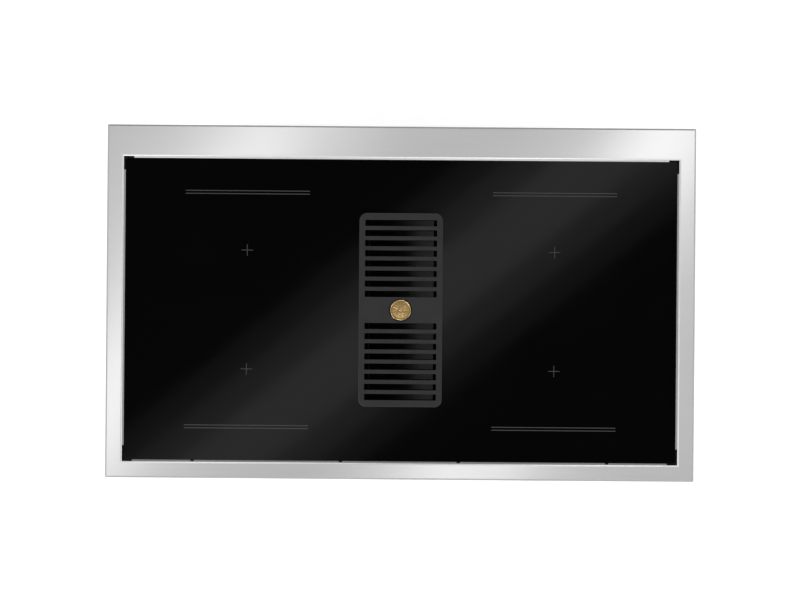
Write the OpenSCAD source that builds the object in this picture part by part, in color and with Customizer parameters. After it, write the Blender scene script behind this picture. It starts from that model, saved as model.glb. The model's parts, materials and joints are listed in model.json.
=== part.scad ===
// Free-standing induction range cooker with a vent in the middle of its hob.
// Millimetres, +Z up. The front faces -Y, and the origin is on the floor under the middle of the worktop.

/* [Overall] */
// Width of the worktop
width = 1000; // [960:10:1040]
// Depth of the worktop
depth = 600; // [600:5:620]
// Height of the worktop above the floor
height = 900; // [880:5:930]
// How far the worktop stands out in front of the doors
overhang = 50; // [46:1:54]

/* [Worktop] */
// Height of the folded edge
top_edge = 40; // [38:1:42]
// Radius of the folded edges
edge_r = 3; // [2:0.5:4]
// Steel behind the glass
rear_band = 54; // [44:1:60]
// Steel in front of the glass
front_band = 28; // [20:1:34]
// Steel on each side of the glass
side_band = 28.5; // [22:0.5:34]
// Radius of the rolled edge round the glass
roll_r = 10; // [8:0.5:12]

/* [Hob] */
// Thickness of the ceramic glass
glass_t = 6; // [4:0.5:6]
// How far the glass lies below the steel
glass_sink = 1.5; // [1:0.1:2]
// Width of the trim strips round the glass
trim_w = 3.2; // [3:0.1:4]
// Distance of each coil centre from the middle, to the side
coil_x = 261; // [250:1:265]
// Distance of each coil centre from the middle, front to back
coil_y = 100.5; // [99:0.5:104]

/* [Vent grille] */
// Width of the grille
grille_w = 142; // [138:1:146]
// Length of the grille, front to back
grille_l = 329; // [326:1:332]
// Corner radius of the grille
grille_r = 13; // [10:1:16]
// How far the grille stands above the glass
grille_rise = 5; // [4:0.5:6]
// Slots in each half of the grille
slots = 8; // [6:1:8]
// Width of one slot
slot_w = 10.6; // [9:0.1:11]
// Distance from slot to slot
slot_pitch = 17.2; // [16:0.1:17.4]
// Length of the solid plate between the two halves
mid_plate = 44; // [42:1:48]
// Diameter of the brass medallion
medallion_d = 35; // [32:1:38]

/* [Oven] */
// Inside height of the oven
cavity_h = 370; // [360:5:375]
// Inside depth of the oven
cavity_d = 380; // [370:5:380]
// Shelf levels on the side ladders
levels = 5; // [3:1:5]

/* [Door and drawer] */
// Thickness of the door
door_t = 45; // [45:1:48]
// Diameter of the handle bars
handle_d = 18; // [16:1:20]
// Clear space between a handle bar and the steel behind it
handle_gap = 30; // [26:1:31]
// Depth of the drawer
drawer_d = 275; // [240:5:275]

/* [Controls] */
// Knobs on each side of the display
knobs_per_side = 3; // [3:1:3]
// Diameter of a knob's skirt
knob_d = 52; // [46:1:54]
// Distance from knob to knob
knob_pitch = 100; // [90:1:100]
// Height of a knob above the fascia
knob_h = 34; // [30:1:38]
// Flutes round a knob
knob_flutes = 20; // [12:2:24]

/* [Blower] */
// Outer radius of the squirrel-cage wheel
wheel_r = 48; // [44:1:48]
// Length of the wheel
wheel_l = 108; // [90:2:108]
// Blades round the wheel
wheel_blades = 36; // [24:2:40]
// Outside radius of the round exhaust spigot
spigot_r = 60; // [55:1:60]

/* [Hidden] */
$fn = 48;

sheet = 1.5;
glass_seal_t = 2;
body_w = width - 6;
inner_x = body_w / 2 - sheet;
top_low = height - top_edge;
base_z = height - 800;
pan_z = base_z + sheet;
pan_top = pan_z + sheet;

recess_w = width - 2 * side_band;
recess_d = depth - rear_band - front_band;
hob_y = (front_band - rear_band) / 2;
glass_w = recess_w - 2 * trim_w;
glass_d = recess_d - 2 * trim_w;
glass_top = height - glass_sink;
glass_low = glass_top - glass_t;
ledge_z = glass_low - glass_seal_t;
ledge_low = ledge_z - sheet;
ledge_w = 14;
roll_w = 3.4;
roll_low = 0.55;
grille_y = hob_y + 1;
grille_top = glass_top + grille_rise;
slot_l = grille_w - 20;
skirt_w = grille_w - 14;
skirt_l = grille_l - 13;
skirt_low = glass_top - 12.5;
skirt_wall = 3;
seat_d = medallion_d + 3;
seat_z = grille_top - 1.5;

face_y = -depth / 2 + overhang;
panel_y = face_y + door_t + 4;
back_y = depth / 2 - 30;
back_in = back_y - sheet;

cavity_w = width - 230;
cavity_z = base_z + 190;
cavity_top = cavity_z + cavity_h;
cavity_mid = cavity_z + cavity_h / 2;
flange_y = panel_y + 5.5;
cavity_back = flange_y + cavity_d;
seal_reach = 9;
wool_side = 28;
wool_back = 20;
wool_y1 = cavity_back + sheet + wool_back;
oven_fan_x = 190;
oven_fan_r = 75;
oven_fan_y = cavity_back - 9;
lamp_x = cavity_w / 2 - 30;
lamp_z = cavity_top - 30;
lamp_r = 22;
element_r = 4;
standoff_r = 4;
ring_leg_x = 20;
ring_leg_z = 92;
grill_leg_x = 20;
grill_z = cavity_top - 22;
motor_reach = 44;
shelf_wire_r = 3;
ladder_end = cavity_back - 36;
shelf_y0 = flange_y + 16;
shelf_y1 = cavity_back - 38;

duct_w = 220;
duct_wall = 2;
duct_low = height - 182;
duct_top = duct_low + 68;
duct_y1 = back_in - 6.5;
duct_y0 = duct_y1 - 54;
well_w = 138;
well_l = 324;
chamber_w = 340;
chamber_y0 = duct_y1 - 210;
chamber_top = base_z + 156;
wheel_y = duct_y1 - 112;
wheel_z = base_z + 80;
spigot_z = base_z + 66;

tray_x0 = well_w / 2 + 10;
tray_x1 = recess_w / 2 - ledge_w - 3;
tray_low = height - 54;
tray_y0 = face_y + 20;
tray_y1 = hob_y + recess_d / 2 - ledge_w - 3;
cooling_fan_x = 410;
cooling_fan_y = 165;
cooling_fan_r = 40;

door_z0 = base_z + 138;
door_z1 = height - 162;
door_y1 = face_y + door_t;
pivot_y = face_y + 12;
pivot_z = door_z0 + 12;
hinge_x = 450;
lug_t = 12;
hinge_pin_r = 4;
running = 0.08;
gland_r = 7;
window_w = 640;
window_h = 280;
window_z = (door_z0 + door_z1) / 2 - 18;

drawer_z0 = base_z + 7;
drawer_z1 = door_z0 - 8;
drawer_side = 470;
runner_z = base_z + 68;
bar_y = face_y - handle_gap - handle_d / 2;
door_bar_z = door_z1 - 40;
drawer_bar_z = (drawer_z0 + drawer_z1) / 2 + 10;
bar_half = 400;
post_x = 365;

fascia_z0 = door_z1 + 4;
knob_z = (fascia_z0 + top_low) / 2;
display_w = 216;
display_h = 48;
spindle_r = 3;
knob_x = [for (start = [-430, 230], i = [0:knobs_per_side - 1]) start + i * knob_pitch];

foot_x = 440;
foot_front = panel_y + 45;
foot_rear = back_in - 45;

// Plain helpers

module both() {
    children();
    mirror([1, 0, 0]) children();
}

// A rectangle with round corners, centred
module rounded(w, h, r) {
    square([w - 2 * r, h], center = true);
    square([w, h - 2 * r], center = true);
    for (x = [-1, 1], y = [-1, 1])
        translate([x * (w / 2 - r), y * (h / 2 - r)]) circle(r = r);
}

module box(x0, x1, y0, y1, z0, z1) {
    translate([x0, y0, z0]) cube([x1 - x0, y1 - y0, z1 - z0]);
}

// Outlines drawn in y and z, run along X
module run_x(x0, x1) {
    translate([x0, 0, 0]) rotate([90, 0, 90]) linear_extrude(x1 - x0) children();
}

// Outlines drawn in x and z, run along Y
module run_y(y0, y1) {
    translate([0, y1, 0]) rotate([90, 0, 0]) linear_extrude(y1 - y0) children();
}

// Outlines drawn in x and y, run along Z
module run_z(z0, z1) {
    translate([0, 0, z0]) linear_extrude(z1 - z0) children();
}

module rod_x(x0, x1, y, z, r) {
    translate([x0, y, z]) rotate([0, 90, 0]) cylinder(h = x1 - x0, r = r);
}

module rod_y(y0, y1, x, z, r) {
    translate([x, y0, z]) rotate([-90, 0, 0]) cylinder(h = y1 - y0, r = r);
}

module rod_z(z0, z1, x, y, r) {
    translate([x, y, z0]) cylinder(h = z1 - z0, r = r);
}

// A profile turned about an axis along Y, drawn with its height towards -Y
module turned_y(x, y, z) {
    translate([x, y, z]) rotate([90, 0, 0]) rotate_extrude() children();
}

// Worktop and hob

// Cross-section of the worktop with its two upper edges rounded
module top_section(w) {
    translate([-w / 2, top_low]) square([w, top_edge - edge_r]);
    translate([-w / 2 + edge_r, top_low]) square([w - 2 * edge_r, top_edge]);
    for (x = [-1, 1]) translate([x * (w / 2 - edge_r), height - edge_r]) circle(r = edge_r);
}

module recess_outline(grow) {
    translate([0, hob_y]) square([recess_w + 2 * grow, recess_d + 2 * grow], center = true);
}

// Cross-section of the cut that rolls the steel down towards the glass
module roll_section(w) {
    difference() {
        translate([-w / 2 - roll_w, height - 1]) square([w + 2 * roll_w, 2]);
        for (x = [-1, 1]) translate([x * (w / 2 + roll_w), height + 0.05 - roll_r]) circle(r = roll_r);
    }
}

module worktop() {
    lip_side = 14;
    lip_front = overhang + 5;
    lip_rear = 35;
    color([0.80, 0.80, 0.81]) difference() {
        union() {
            difference() {
                intersection() {
                    run_z(top_low, height) rounded(width, depth, edge_r);
                    run_x(-width / 2, width / 2) top_section(depth);
                    run_y(-depth / 2, depth / 2) top_section(width);
                }
                box(-width / 2 + sheet, width / 2 - sheet, -depth / 2 + sheet, depth / 2 - sheet,
                    top_low + sheet, height - sheet);
                box(-width / 2 + lip_side, width / 2 - lip_side, -depth / 2 + lip_front,
                    depth / 2 - lip_rear, top_low - 1, top_low + 2 * sheet);
                run_z(height - 2 * sheet, height + 1) recess_outline(0);
            }
            run_z(ledge_low, height - sheet / 2) difference() {
                recess_outline(sheet);
                recess_outline(0);
            }
            run_z(ledge_low, ledge_z) difference() {
                recess_outline(sheet);
                recess_outline(-ledge_w);
            }
        }
        translate([0, hob_y, 0]) intersection() {
            run_x(-recess_w / 2 - roll_w, recess_w / 2 + roll_w) roll_section(recess_d);
            run_y(-recess_d / 2 - roll_w, recess_d / 2 + roll_w) roll_section(recess_w);
        }
    }
}

module ceramic_glass() {
    color([0.02, 0.02, 0.02]) run_z(glass_low, glass_top) difference() {
        translate([0, hob_y]) rounded(glass_w, glass_d, 3);
        translate([0, grille_y]) rounded(skirt_w + 2, skirt_l + 2, 9);
    }
}

// The bead under the glass, and the corner pieces that the trim strips stop short of
module glass_seals() {
    seal_w = 7;
    along = 17;
    arm_w = trim_w - 0.3;
    arms = [[1, 22.7], [-1, 26.7]];
    color([0.05, 0.05, 0.05]) translate([0, hob_y, 0]) {
        run_z(ledge_z, glass_low) difference() {
            rounded(glass_w - 1, glass_d - 1, 3);
            rounded(glass_w - 1 - 2 * seal_w, glass_d - 1 - 2 * seal_w, 3);
        }
        both() run_z(ledge_z, height - roll_low) for (arm = arms)
            scale([1, arm[0]]) translate([recess_w / 2, recess_d / 2]) union() {
                translate([-along, -arm_w]) square([along, arm_w]);
                translate([-arm_w, -arm[1]]) square([arm_w, arm[1]]);
            }
    }
}

// Cross-section of a trim strip: its outer edge stands at reach and its top slopes down to the glass
module strip_section(reach) {
    near = reach - trim_w + 0.3;
    polygon([[near, ledge_z], [reach, ledge_z], [reach, height - roll_low],
        [near + 0.3, glass_top + 0.15], [near, glass_top - 0.2]]);
}

module trim_strips() {
    long_end = recess_w / 2 - 17.3;
    side_rear = recess_d / 2 - 23;
    side_front = recess_d / 2 - 27;
    notch_at = [-352, -100, 100, 352];
    color([0.75, 0.75, 0.76]) translate([0, hob_y, 0]) {
        run_x(-long_end, long_end) strip_section(recess_d / 2);
        rotate([0, 0, 180]) difference() {
            run_x(-long_end, long_end) strip_section(recess_d / 2);
            for (x = notch_at) translate([x, recess_d / 2 - trim_w, 0])
                run_z(ledge_z - 1, height + 1) polygon([[-1.8, 0], [1.8, 0], [0, 2.2]]);
        }
        rotate([0, 0, 90]) run_x(-side_front, side_rear) strip_section(recess_w / 2);
        rotate([0, 0, -90]) run_x(-side_rear, side_front) strip_section(recess_w / 2);
    }
}

// Vent grille

// Outline of a plate's edge with a rounded upper corner of radius e, from the middle out to half
module soft_edge(half, z0, z1, e) {
    translate([0, z0]) square([half, z1 - z0 - e]);
    translate([0, z0]) square([half - e, z1 - z0]);
    translate([half - e, z1 - e]) circle(r = e);
}

// A flat plate with round corners of radius r and a soft upper edge of radius e
module soft_slab(w, l, z0, z1, r, e) {
    run_x(-w / 2 + r, w / 2 - r) both() soft_edge(l / 2, z0, z1, e);
    run_y(-l / 2 + r, l / 2 - r) both() soft_edge(w / 2, z0, z1, e);
    for (x = [-1, 1], y = [-1, 1]) translate([x * (w / 2 - r), y * (l / 2 - r), 0])
        rotate_extrude() intersection() {
            soft_edge(r, z0, z1, e);
            translate([0, z0]) square([r, z1 - z0]);
        }
}

module vent_grille() {
    bar_low = grille_top - 10;
    color([0.21, 0.21, 0.21]) translate([0, grille_y, 0]) difference() {
        union() {
            soft_slab(grille_w, grille_l, glass_top, grille_top, grille_r, 1.6);
            run_z(skirt_low, glass_top + 1) rounded(skirt_w, skirt_l, 8);
        }
        run_z(skirt_low - 1, bar_low) rounded(skirt_w - 2 * skirt_wall, skirt_l - 2 * skirt_wall, 5);
        for (side = [-1, 1], i = [0:slots - 1])
            translate([0, side * (mid_plate / 2 + slot_w / 2 + i * slot_pitch), 0])
                run_z(bar_low - 1, grille_top + 1) rounded(slot_l, slot_w, 1.2);
        rod_z(seat_z, grille_top + 1, 0, 0, seat_d / 2);
        rod_z(bar_low - 1, grille_top, 0, 0, 3.3);
    }
}

module medallion() {
    rim = medallion_d / 2;
    dome_r = 58;
    dome_half = rim - 2.6;
    petals = 16;
    rays = 4.6;
    color([0.78, 0.62, 0.33]) translate([0, grille_y, seat_z]) union() {
        rotate_extrude() union() {
            square([rim, 1.4]);
            translate([rim - 1.6, 0]) square([1.6, 2.2]);
            translate([rim - 0.8, 2.2]) circle(r = 0.8);
        }
        intersection() {
            translate([0, 0, 3.1 - dome_r]) sphere(r = dome_r);
            cylinder(h = 6, r = dome_half);
        }
        for (i = [0:petals - 1]) rotate([0, 0, i * 360 / petals]) translate([rays, 0, 2.75])
            rotate([0, 97, 0]) cylinder(h = dome_half - rays - 1.2, r = 0.75);
        translate([0, 0, 0.8]) sphere(r = 3.2);
        translate([0, 0, -8]) cylinder(h = 8.5, r = 3);
    }
}

// Two cassettes, each a frame round a perforated core, with ribs below and ears at the inner end
module grease_filters() {
    filter_w = slot_l - 10;
    filter_l = skirt_l / 2 - 1;
    filter_h = 13;
    core_h = 6;
    side_border = 2;
    end_border = 16;
    ear = 7;
    rib_x = 20;
    core_y = (ear - end_border) / 2;
    core_l = filter_l - ear - end_border;
    color([0.30, 0.30, 0.31]) for (side = [-1, 1])
        translate([0, grille_y + side * (filter_l / 2 + 0.5), skirt_low - filter_h]) union() {
            linear_extrude(filter_h) difference() {
                rounded(filter_w, filter_l, 3);
                translate([0, side * core_y]) square([filter_w - 2 * side_border, core_l], center = true);
            }
            translate([0, side * core_y, (filter_h - core_h) / 2]) linear_extrude(core_h)
                square([filter_w - side_border, core_l + 4], center = true);
            for (x = [-rib_x, rib_x]) translate([x, side * core_y, 1]) linear_extrude(core_h)
                square([2, core_l + 4], center = true);
            translate([0, side * (ear - filter_l) / 2, 0]) linear_extrude(filter_h)
                rounded(skirt_w - 4, ear, 2);
        }
}

module vent_well() {
    flange = 8;
    color([0.16, 0.16, 0.17]) translate([0, grille_y, 0]) difference() {
        union() {
            run_z(duct_top, glass_low) rounded(well_w, well_l, 4);
            run_z(glass_low - 2, glass_low) rounded(well_w + 2 * flange, well_l + 2 * flange, 8);
            run_z(duct_top, duct_top + 3) rounded(well_w + 8, well_l + 8, 6);
        }
        run_z(duct_top - 1, glass_low + 1) rounded(well_w - 2 * duct_wall, well_l - 2 * duct_wall, 2);
    }
}

// Extraction

// Side outline of the duct, drawn in by inset, with its elbow at the upper rear
module duct_outline(inset, foot) {
    bend_r = 52;
    front = grille_y - well_l / 2 - 4;
    difference() {
        union() {
            translate([front + inset, duct_low + inset])
                square([duct_y1 - front - 2 * inset, duct_top - duct_low - 2 * inset]);
            translate([duct_y0 + inset, foot])
                square([duct_y1 - duct_y0 - 2 * inset, duct_top - inset - foot]);
        }
        translate([duct_y1 - bend_r, duct_top - bend_r]) square([bend_r, bend_r]);
    }
    translate([duct_y1 - bend_r, duct_top - bend_r]) intersection() {
        circle(r = bend_r - inset);
        square([bend_r, bend_r]);
    }
}

module suction_duct() {
    ribs = 6;
    color([0.55, 0.56, 0.57]) difference() {
        union() {
            run_x(-duct_w / 2, duct_w / 2) duct_outline(0, chamber_top);
            for (i = [0:ribs - 1]) translate([0, 0, chamber_top + 40 + i * 70])
                box(-duct_w / 2, duct_w / 2, duct_y1 - 1, duct_y1 + 2, 0, 4);
        }
        run_x(-duct_w / 2 + duct_wall, duct_w / 2 - duct_wall) duct_outline(duct_wall, chamber_top - 1);
        translate([0, grille_y, 0]) run_z(duct_top - 2 * duct_wall, duct_top + 1)
            square([well_w - 2 * duct_wall, well_l - 2 * duct_wall], center = true);
    }
}

module fan_chamber() {
    color([0.70, 0.71, 0.72]) difference() {
        box(-chamber_w / 2, chamber_w / 2, chamber_y0, duct_y1, pan_top, chamber_top);
        box(-chamber_w / 2 + sheet, chamber_w / 2 - sheet, chamber_y0 + sheet, duct_y1 - sheet,
            pan_top + sheet, chamber_top - sheet);
        box(-duct_w / 2 + duct_wall, duct_w / 2 - duct_wall, duct_y0 + duct_wall, duct_y1 - duct_wall,
            chamber_top - 2 * sheet, chamber_top + 1);
        rod_y(duct_y1 - 2 * sheet, duct_y1 + 1, 0, spigot_z, spigot_r - sheet);
    }
}

// Side outline of the scroll, drawn in by inset: three quarter arcs that grow by step, then the outlet
module volute_outline(inset, outlet_end) {
    step = 6;
    first = wheel_r + 6;
    far = 200;
    c2 = [wheel_y, wheel_z - step];
    c3 = [wheel_y + step, wheel_z - step];
    low = c3[1] - first - 2 * step + inset;
    intersection() {
        translate([wheel_y, wheel_z]) circle(r = first - inset);
        translate([wheel_y, wheel_z]) square([far, far]);
    }
    intersection() {
        translate(c2) circle(r = first + step - inset);
        translate([c2[0] - far, c2[1]]) square([far, far]);
    }
    intersection() {
        translate(c3) circle(r = first + 2 * step - inset);
        translate([c3[0] - far, c3[1] - far]) square([far, far]);
    }
    translate([wheel_y - 1, c3[1] - 1]) square([step + 2, step + 2]);
    polygon([[c3[0], low], [outlet_end, low], [outlet_end, spigot_z + spigot_r - 2 - inset],
        [wheel_y + first - inset, wheel_z - 2 - inset], [wheel_y + first - inset, wheel_z],
        [c3[0], wheel_z]]);
}

module blower_scroll() {
    half = wheel_l / 2 + 5;
    inlet_r = wheel_r - 4;
    color([0.25, 0.26, 0.27]) difference() {
        union() {
            run_x(-half, half) volute_outline(0, duct_y1 - sheet);
            rod_x(-half - 2, half + 2, wheel_y, wheel_z, inlet_r + 5);
        }
        run_x(-half + sheet, half - sheet) volute_outline(sheet, duct_y1);
        rod_x(-half - 4, half + 4, wheel_y, wheel_z, inlet_r);
    }
}

// One forward-curved blade, an arc between the two rims
module blade_outline() {
    bend = 8;
    centre = wheel_r - 3.5;
    intersection() {
        difference() {
            translate([centre, -5]) circle(r = bend);
            translate([centre, -5]) circle(r = bend - 0.9);
        }
        difference() {
            circle(r = wheel_r - 0.4);
            circle(r = wheel_r - 8);
        }
        translate([wheel_r - 12, -5]) square([12, 12]);
    }
}

module blower_wheel() {
    half = wheel_l / 2;
    rim_in = wheel_r - 7.5;
    shaft_end = -half + 8;
    color([0.62, 0.63, 0.64]) translate([0, wheel_y, wheel_z]) rotate([90, 0, 90]) union() {
        translate([0, 0, -half]) linear_extrude(wheel_l) for (i = [0:wheel_blades - 1])
            rotate([0, 0, i * 360 / wheel_blades]) blade_outline();
        for (z = [-half, half - 2]) translate([0, 0, z]) linear_extrude(2) difference() {
            circle(r = wheel_r);
            circle(r = rim_in);
        }
        translate([0, 0, -1]) cylinder(h = 2, r = wheel_r);
        translate([0, 0, -4]) cylinder(h = 14, r = 10);
        translate([0, 0, shaft_end]) cylinder(h = half - 4, r = hinge_pin_r);
    }
}

module blower_motor() {
    half = wheel_l / 2;
    can_r = wheel_r - 15;
    outer_x = -half - 8;
    mount_x = -half - 10;
    color([0.45, 0.46, 0.48]) translate([0, wheel_y, wheel_z]) rotate([90, 0, 90]) difference() {
        union() {
            translate([0, 0, outer_x]) cylinder(h = half + 1, r = can_r);
            translate([0, 0, -8]) cylinder(h = 3, r = 14);
            for (a = [90, 210, 330]) rotate([0, 0, a])
                translate([0, -5, mount_x]) cube([wheel_r - 1, 10, 3]);
            translate([0, 0, mount_x]) linear_extrude(3) difference() {
                circle(r = wheel_r + 3);
                circle(r = wheel_r - 5);
            }
        }
        translate([0, 0, -half + 4]) cylinder(h = half, r = hinge_pin_r + running);
    }
}

module exhaust_spigot() {
    plate_w = 144;
    plate_low = pan_top + 2;
    plate_high = spigot_z + spigot_r + 3;
    color([0.20, 0.21, 0.22]) difference() {
        union() {
            box(-plate_w / 2, plate_w / 2, duct_y1, duct_y1 + 2, plate_low, plate_high);
            rod_y(duct_y1, back_y + 27, 0, spigot_z, spigot_r);
        }
        rod_y(duct_y1 - 1, back_y + 28, 0, spigot_z, spigot_r - sheet);
    }
}

// Induction parts

// Pans hung under the ledge of the worktop, with a hole over each cooling fan
module coil_trays() {
    flange_w = 12;
    rim = ledge_low - sheet;
    ledge_front = hob_y - recess_d / 2 + 5;
    color([0.72, 0.73, 0.74]) both() difference() {
        union() {
            box(tray_x0, tray_x1, tray_y0, tray_y1, tray_low, ledge_low);
            box(tray_x0, tray_x1 + flange_w, ledge_front, tray_y1 + flange_w, rim, ledge_low);
        }
        box(tray_x0 + sheet, tray_x1 - sheet, tray_y0 + sheet, tray_y1 - sheet,
            tray_low + sheet, ledge_low + 1);
        rod_z(tray_low - 1, tray_low + 2 * sheet, cooling_fan_x, cooling_fan_y, cooling_fan_r + 2);
    }
}

module at_each_coil() {
    for (x = [-1, 1], y = [-1, 1]) translate([x * coil_x, hob_y + y * coil_y, 0]) children();
}

// Each former stands on four legs and holds ferrite bars underneath
module coil_formers() {
    plate_z = tray_low + 26;
    former_w = 206;
    former_l = 196;
    color([0.62, 0.58, 0.50]) at_each_coil() {
        difference() {
            run_z(plate_z, plate_z + 6) rounded(former_w, former_l, 20);
            rod_z(plate_z - 1, plate_z + 7, 0, 0, 12);
        }
        for (x = [-1, 1], y = [-1, 1]) rod_z(tray_low + sheet, plate_z, x * 80, y * 80, 6);
        for (i = [-2.5:1:2.5]) translate([i * 24 - 6, -62, plate_z - 5]) cube([12, 124, 5]);
    }
}

// Flat windings, each turn a rounded rectangle
module induction_coils() {
    coil_z = tray_low + 32;
    turns = 7;
    pitch = 10;
    color([0.72, 0.45, 0.25]) at_each_coil() union() {
        for (i = [0:turns - 1]) run_z(coil_z, coil_z + 5) difference() {
            rounded(200 - 2 * i * pitch, 190 - 2 * i * pitch, 92 - i * pitch);
            rounded(186 - 2 * i * pitch, 176 - 2 * i * pitch, 85 - i * pitch);
        }
        for (x = [-62, 62]) translate([x, 0, coil_z + 1]) cube([70, 3, 2], center = true);
    }
}

// Boards that hang from the trays, with their heat sinks, chokes and capacitors
module power_boards() {
    board_z = tray_low - 22;
    x0 = 150;
    x1 = 345;
    y0 = -170;
    y1 = 130;
    fins = 14;
    fin_pitch = 4.2;
    fin_t = 1.4;
    sink_x = x0 + 20;
    under = board_z + 0.5;
    color([0.14, 0.32, 0.20]) both() union() {
        box(x0, x1, y0, y1, board_z, board_z + 2);
        for (x = [x0 + 10, x1 - 10], y = [y0 + 10, y1 - 10]) rod_z(board_z + 1, tray_low, x, y, 4);
        box(sink_x, sink_x + fins * fin_pitch - 2, y0 + 30, y1 - 30, board_z - 6, under);
        for (i = [0:fins - 1]) translate([sink_x + i * fin_pitch, 0, 0])
            box(0, fin_t, y0 + 30, y1 - 30, board_z - 30, board_z - 5);
        for (y = [50:60:230]) rod_z(board_z - 28, under, x1 - 40, y0 + y, 12);
        for (y = [60, 180]) box(x1 - 90, x1 - 62, y0 + y, y0 + y + 34, board_z - 22, under);
    }
}

module cooling_fan_frames() {
    frame_w = 92;
    frame_h = 25;
    low = tray_low - frame_h;
    hub_r = 19;
    color([0.10, 0.10, 0.11]) both() translate([cooling_fan_x, cooling_fan_y, 0]) difference() {
        union() {
            run_z(low, tray_low) difference() {
                rounded(frame_w, frame_w, 6);
                circle(r = cooling_fan_r + 1.5);
            }
            run_z(low, low + 3) for (a = [30, 150, 270]) rotate([0, 0, a]) translate([0, -2.5])
                square([cooling_fan_r + 4, 5]);
            rod_z(low, low + 3, 0, 0, hub_r);
        }
        rod_z(low + 1, low + 4, 0, 0, 2 + running);
        for (x = [-1, 1], y = [-1, 1]) rod_z(low - 1, tray_low + 1, x * 41.5, y * 41.5, 2.2);
    }
}

module cooling_fan(side) {
    low = tray_low - 21;
    high = tray_low - 3;
    blades = 7;
    color([0.13, 0.13, 0.14]) translate([side * cooling_fan_x, cooling_fan_y, 0]) union() {
        rod_z(low, high, 0, 0, 18);
        rod_z(low - 2.5, low + 1, 0, 0, 2);
        intersection() {
            for (i = [0:blades - 1]) rotate([0, 0, i * 360 / blades]) translate([27, 0, (low + high) / 2])
                rotate([38, 0, 0]) cube([24, 24, 1.4], center = true);
            run_z(low + 1, high - 1) circle(r = cooling_fan_r - 1);
        }
    }
}

module cooling_fan_left() {
    cooling_fan(-1);
}

module cooling_fan_right() {
    cooling_fan(1);
}

// Body

module side_panels() {
    fold = 16;
    outer = body_w / 2;
    color([0.70, 0.71, 0.72]) both() difference() {
        box(inner_x - fold, outer, panel_y, back_in, base_z, top_low);
        box(inner_x - fold - 1, inner_x, panel_y + sheet, back_in - sheet, base_z + sheet, top_low - sheet);
    }
}

module back_panel() {
    louvres = 9;
    color([0.66, 0.67, 0.68]) difference() {
        box(-body_w / 2 + 1, body_w / 2 - 1, back_in, back_y, pan_z, top_low);
        for (x = [-340, -210, 210, 340], i = [0:louvres - 1]) translate([x, 0, top_low - 190 + i * 14])
            run_y(back_in - 1, back_y + 1) rounded(90, 5, 2.4);
        rod_y(back_in - 1, back_y + 1, 0, spigot_z, spigot_r + 1);
        for (x = [-200, 200]) rod_y(back_in - 1, back_y + 1, x, top_low - 25, 3);
    }
}

// A box behind the back panel, with a gland under it for a mains cable
module terminal_box() {
    box_x = -330;
    box_w = 120;
    box_low = base_z + 60;
    box_high = base_z + 140;
    reach = 26;
    gland_y = back_y + reach / 2;
    color([0.12, 0.12, 0.13]) difference() {
        union() {
            box(box_x - box_w / 2, box_x + box_w / 2, back_y, back_y + reach, box_low, box_high);
            run_y(back_y, back_y + 2.5) translate([box_x, (box_low + box_high) / 2])
                rounded(box_w + 24, 60, 6);
            rod_z(box_low - 14, box_low + 1, box_x, gland_y, gland_r + 3);
            translate([box_x, gland_y, box_low - 8]) cylinder(h = 8, r = gland_r + 5, $fn = 6);
        }
        box(box_x - box_w / 2 + 2.5, box_x + box_w / 2 - 2.5, back_y - 1, back_y + reach - 2.5,
            box_low + 2.5, box_high - 2.5);
        rod_z(box_low - 15, box_low + 3, box_x, gland_y, gland_r);
        for (x = [-66, 66]) rod_y(back_y - 1, back_y + 3, box_x + x, (box_low + box_high) / 2, 2.5);
    }
}

module base_pan() {
    turn_up = 20;
    x1 = inner_x;
    y0 = panel_y + sheet;
    y1 = back_in - sheet;
    color([0.62, 0.63, 0.64]) difference() {
        box(-x1, x1, y0, y1, pan_z, pan_top + turn_up);
        box(-x1 + sheet, x1 - sheet, y0 - 1, y1 - sheet, pan_top, pan_top + turn_up + 1);
        rod_y(y1 - 2 * sheet, y1 + 1, 0, spigot_z, spigot_r + 1);
        for (x = [-260, 260], i = [0:5]) translate([x, chamber_y0 + 20 + i * 28, 0])
            run_z(pan_z - 1, pan_top + 1) rounded(120, 6, 2.9);
    }
}

// Outline of the opening in the frame, grown by grow
module mouth_outline(grow) {
    translate([0, cavity_mid]) rounded(cavity_w + 2 * (19 + grow), cavity_h + 2 * (19 + grow), 12 + grow);
}

// The frame carries the oven's flange, and on each side a lug with the pin that the door turns on
module front_frame() {
    y0 = panel_y + sheet;
    y1 = y0 + sheet;
    low = door_z0 - 2;
    high = fascia_z0 + 18;
    color([0.60, 0.61, 0.62]) {
        difference() {
            union() {
                box(-inner_x, inner_x, y0, y1, low, high);
                box(-inner_x, inner_x, y1, y1 + 14, low, low + sheet);
                run_y(y0, flange_y) mouth_outline(sheet);
            }
            run_y(y0 - 1, flange_y + 1) mouth_outline(0);
        }
        both() union() {
            run_x(hinge_x - lug_t / 2, hinge_x + lug_t / 2) union() {
                translate([pivot_y, pivot_z]) circle(r = 8);
                translate([pivot_y, pivot_z - 8]) square([y0 - pivot_y + 0.5, 16]);
            }
            rod_x(hinge_x - lug_t / 2 - 9, hinge_x + lug_t / 2 + 9, pivot_y, pivot_z, hinge_pin_r);
        }
    }
}

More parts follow.
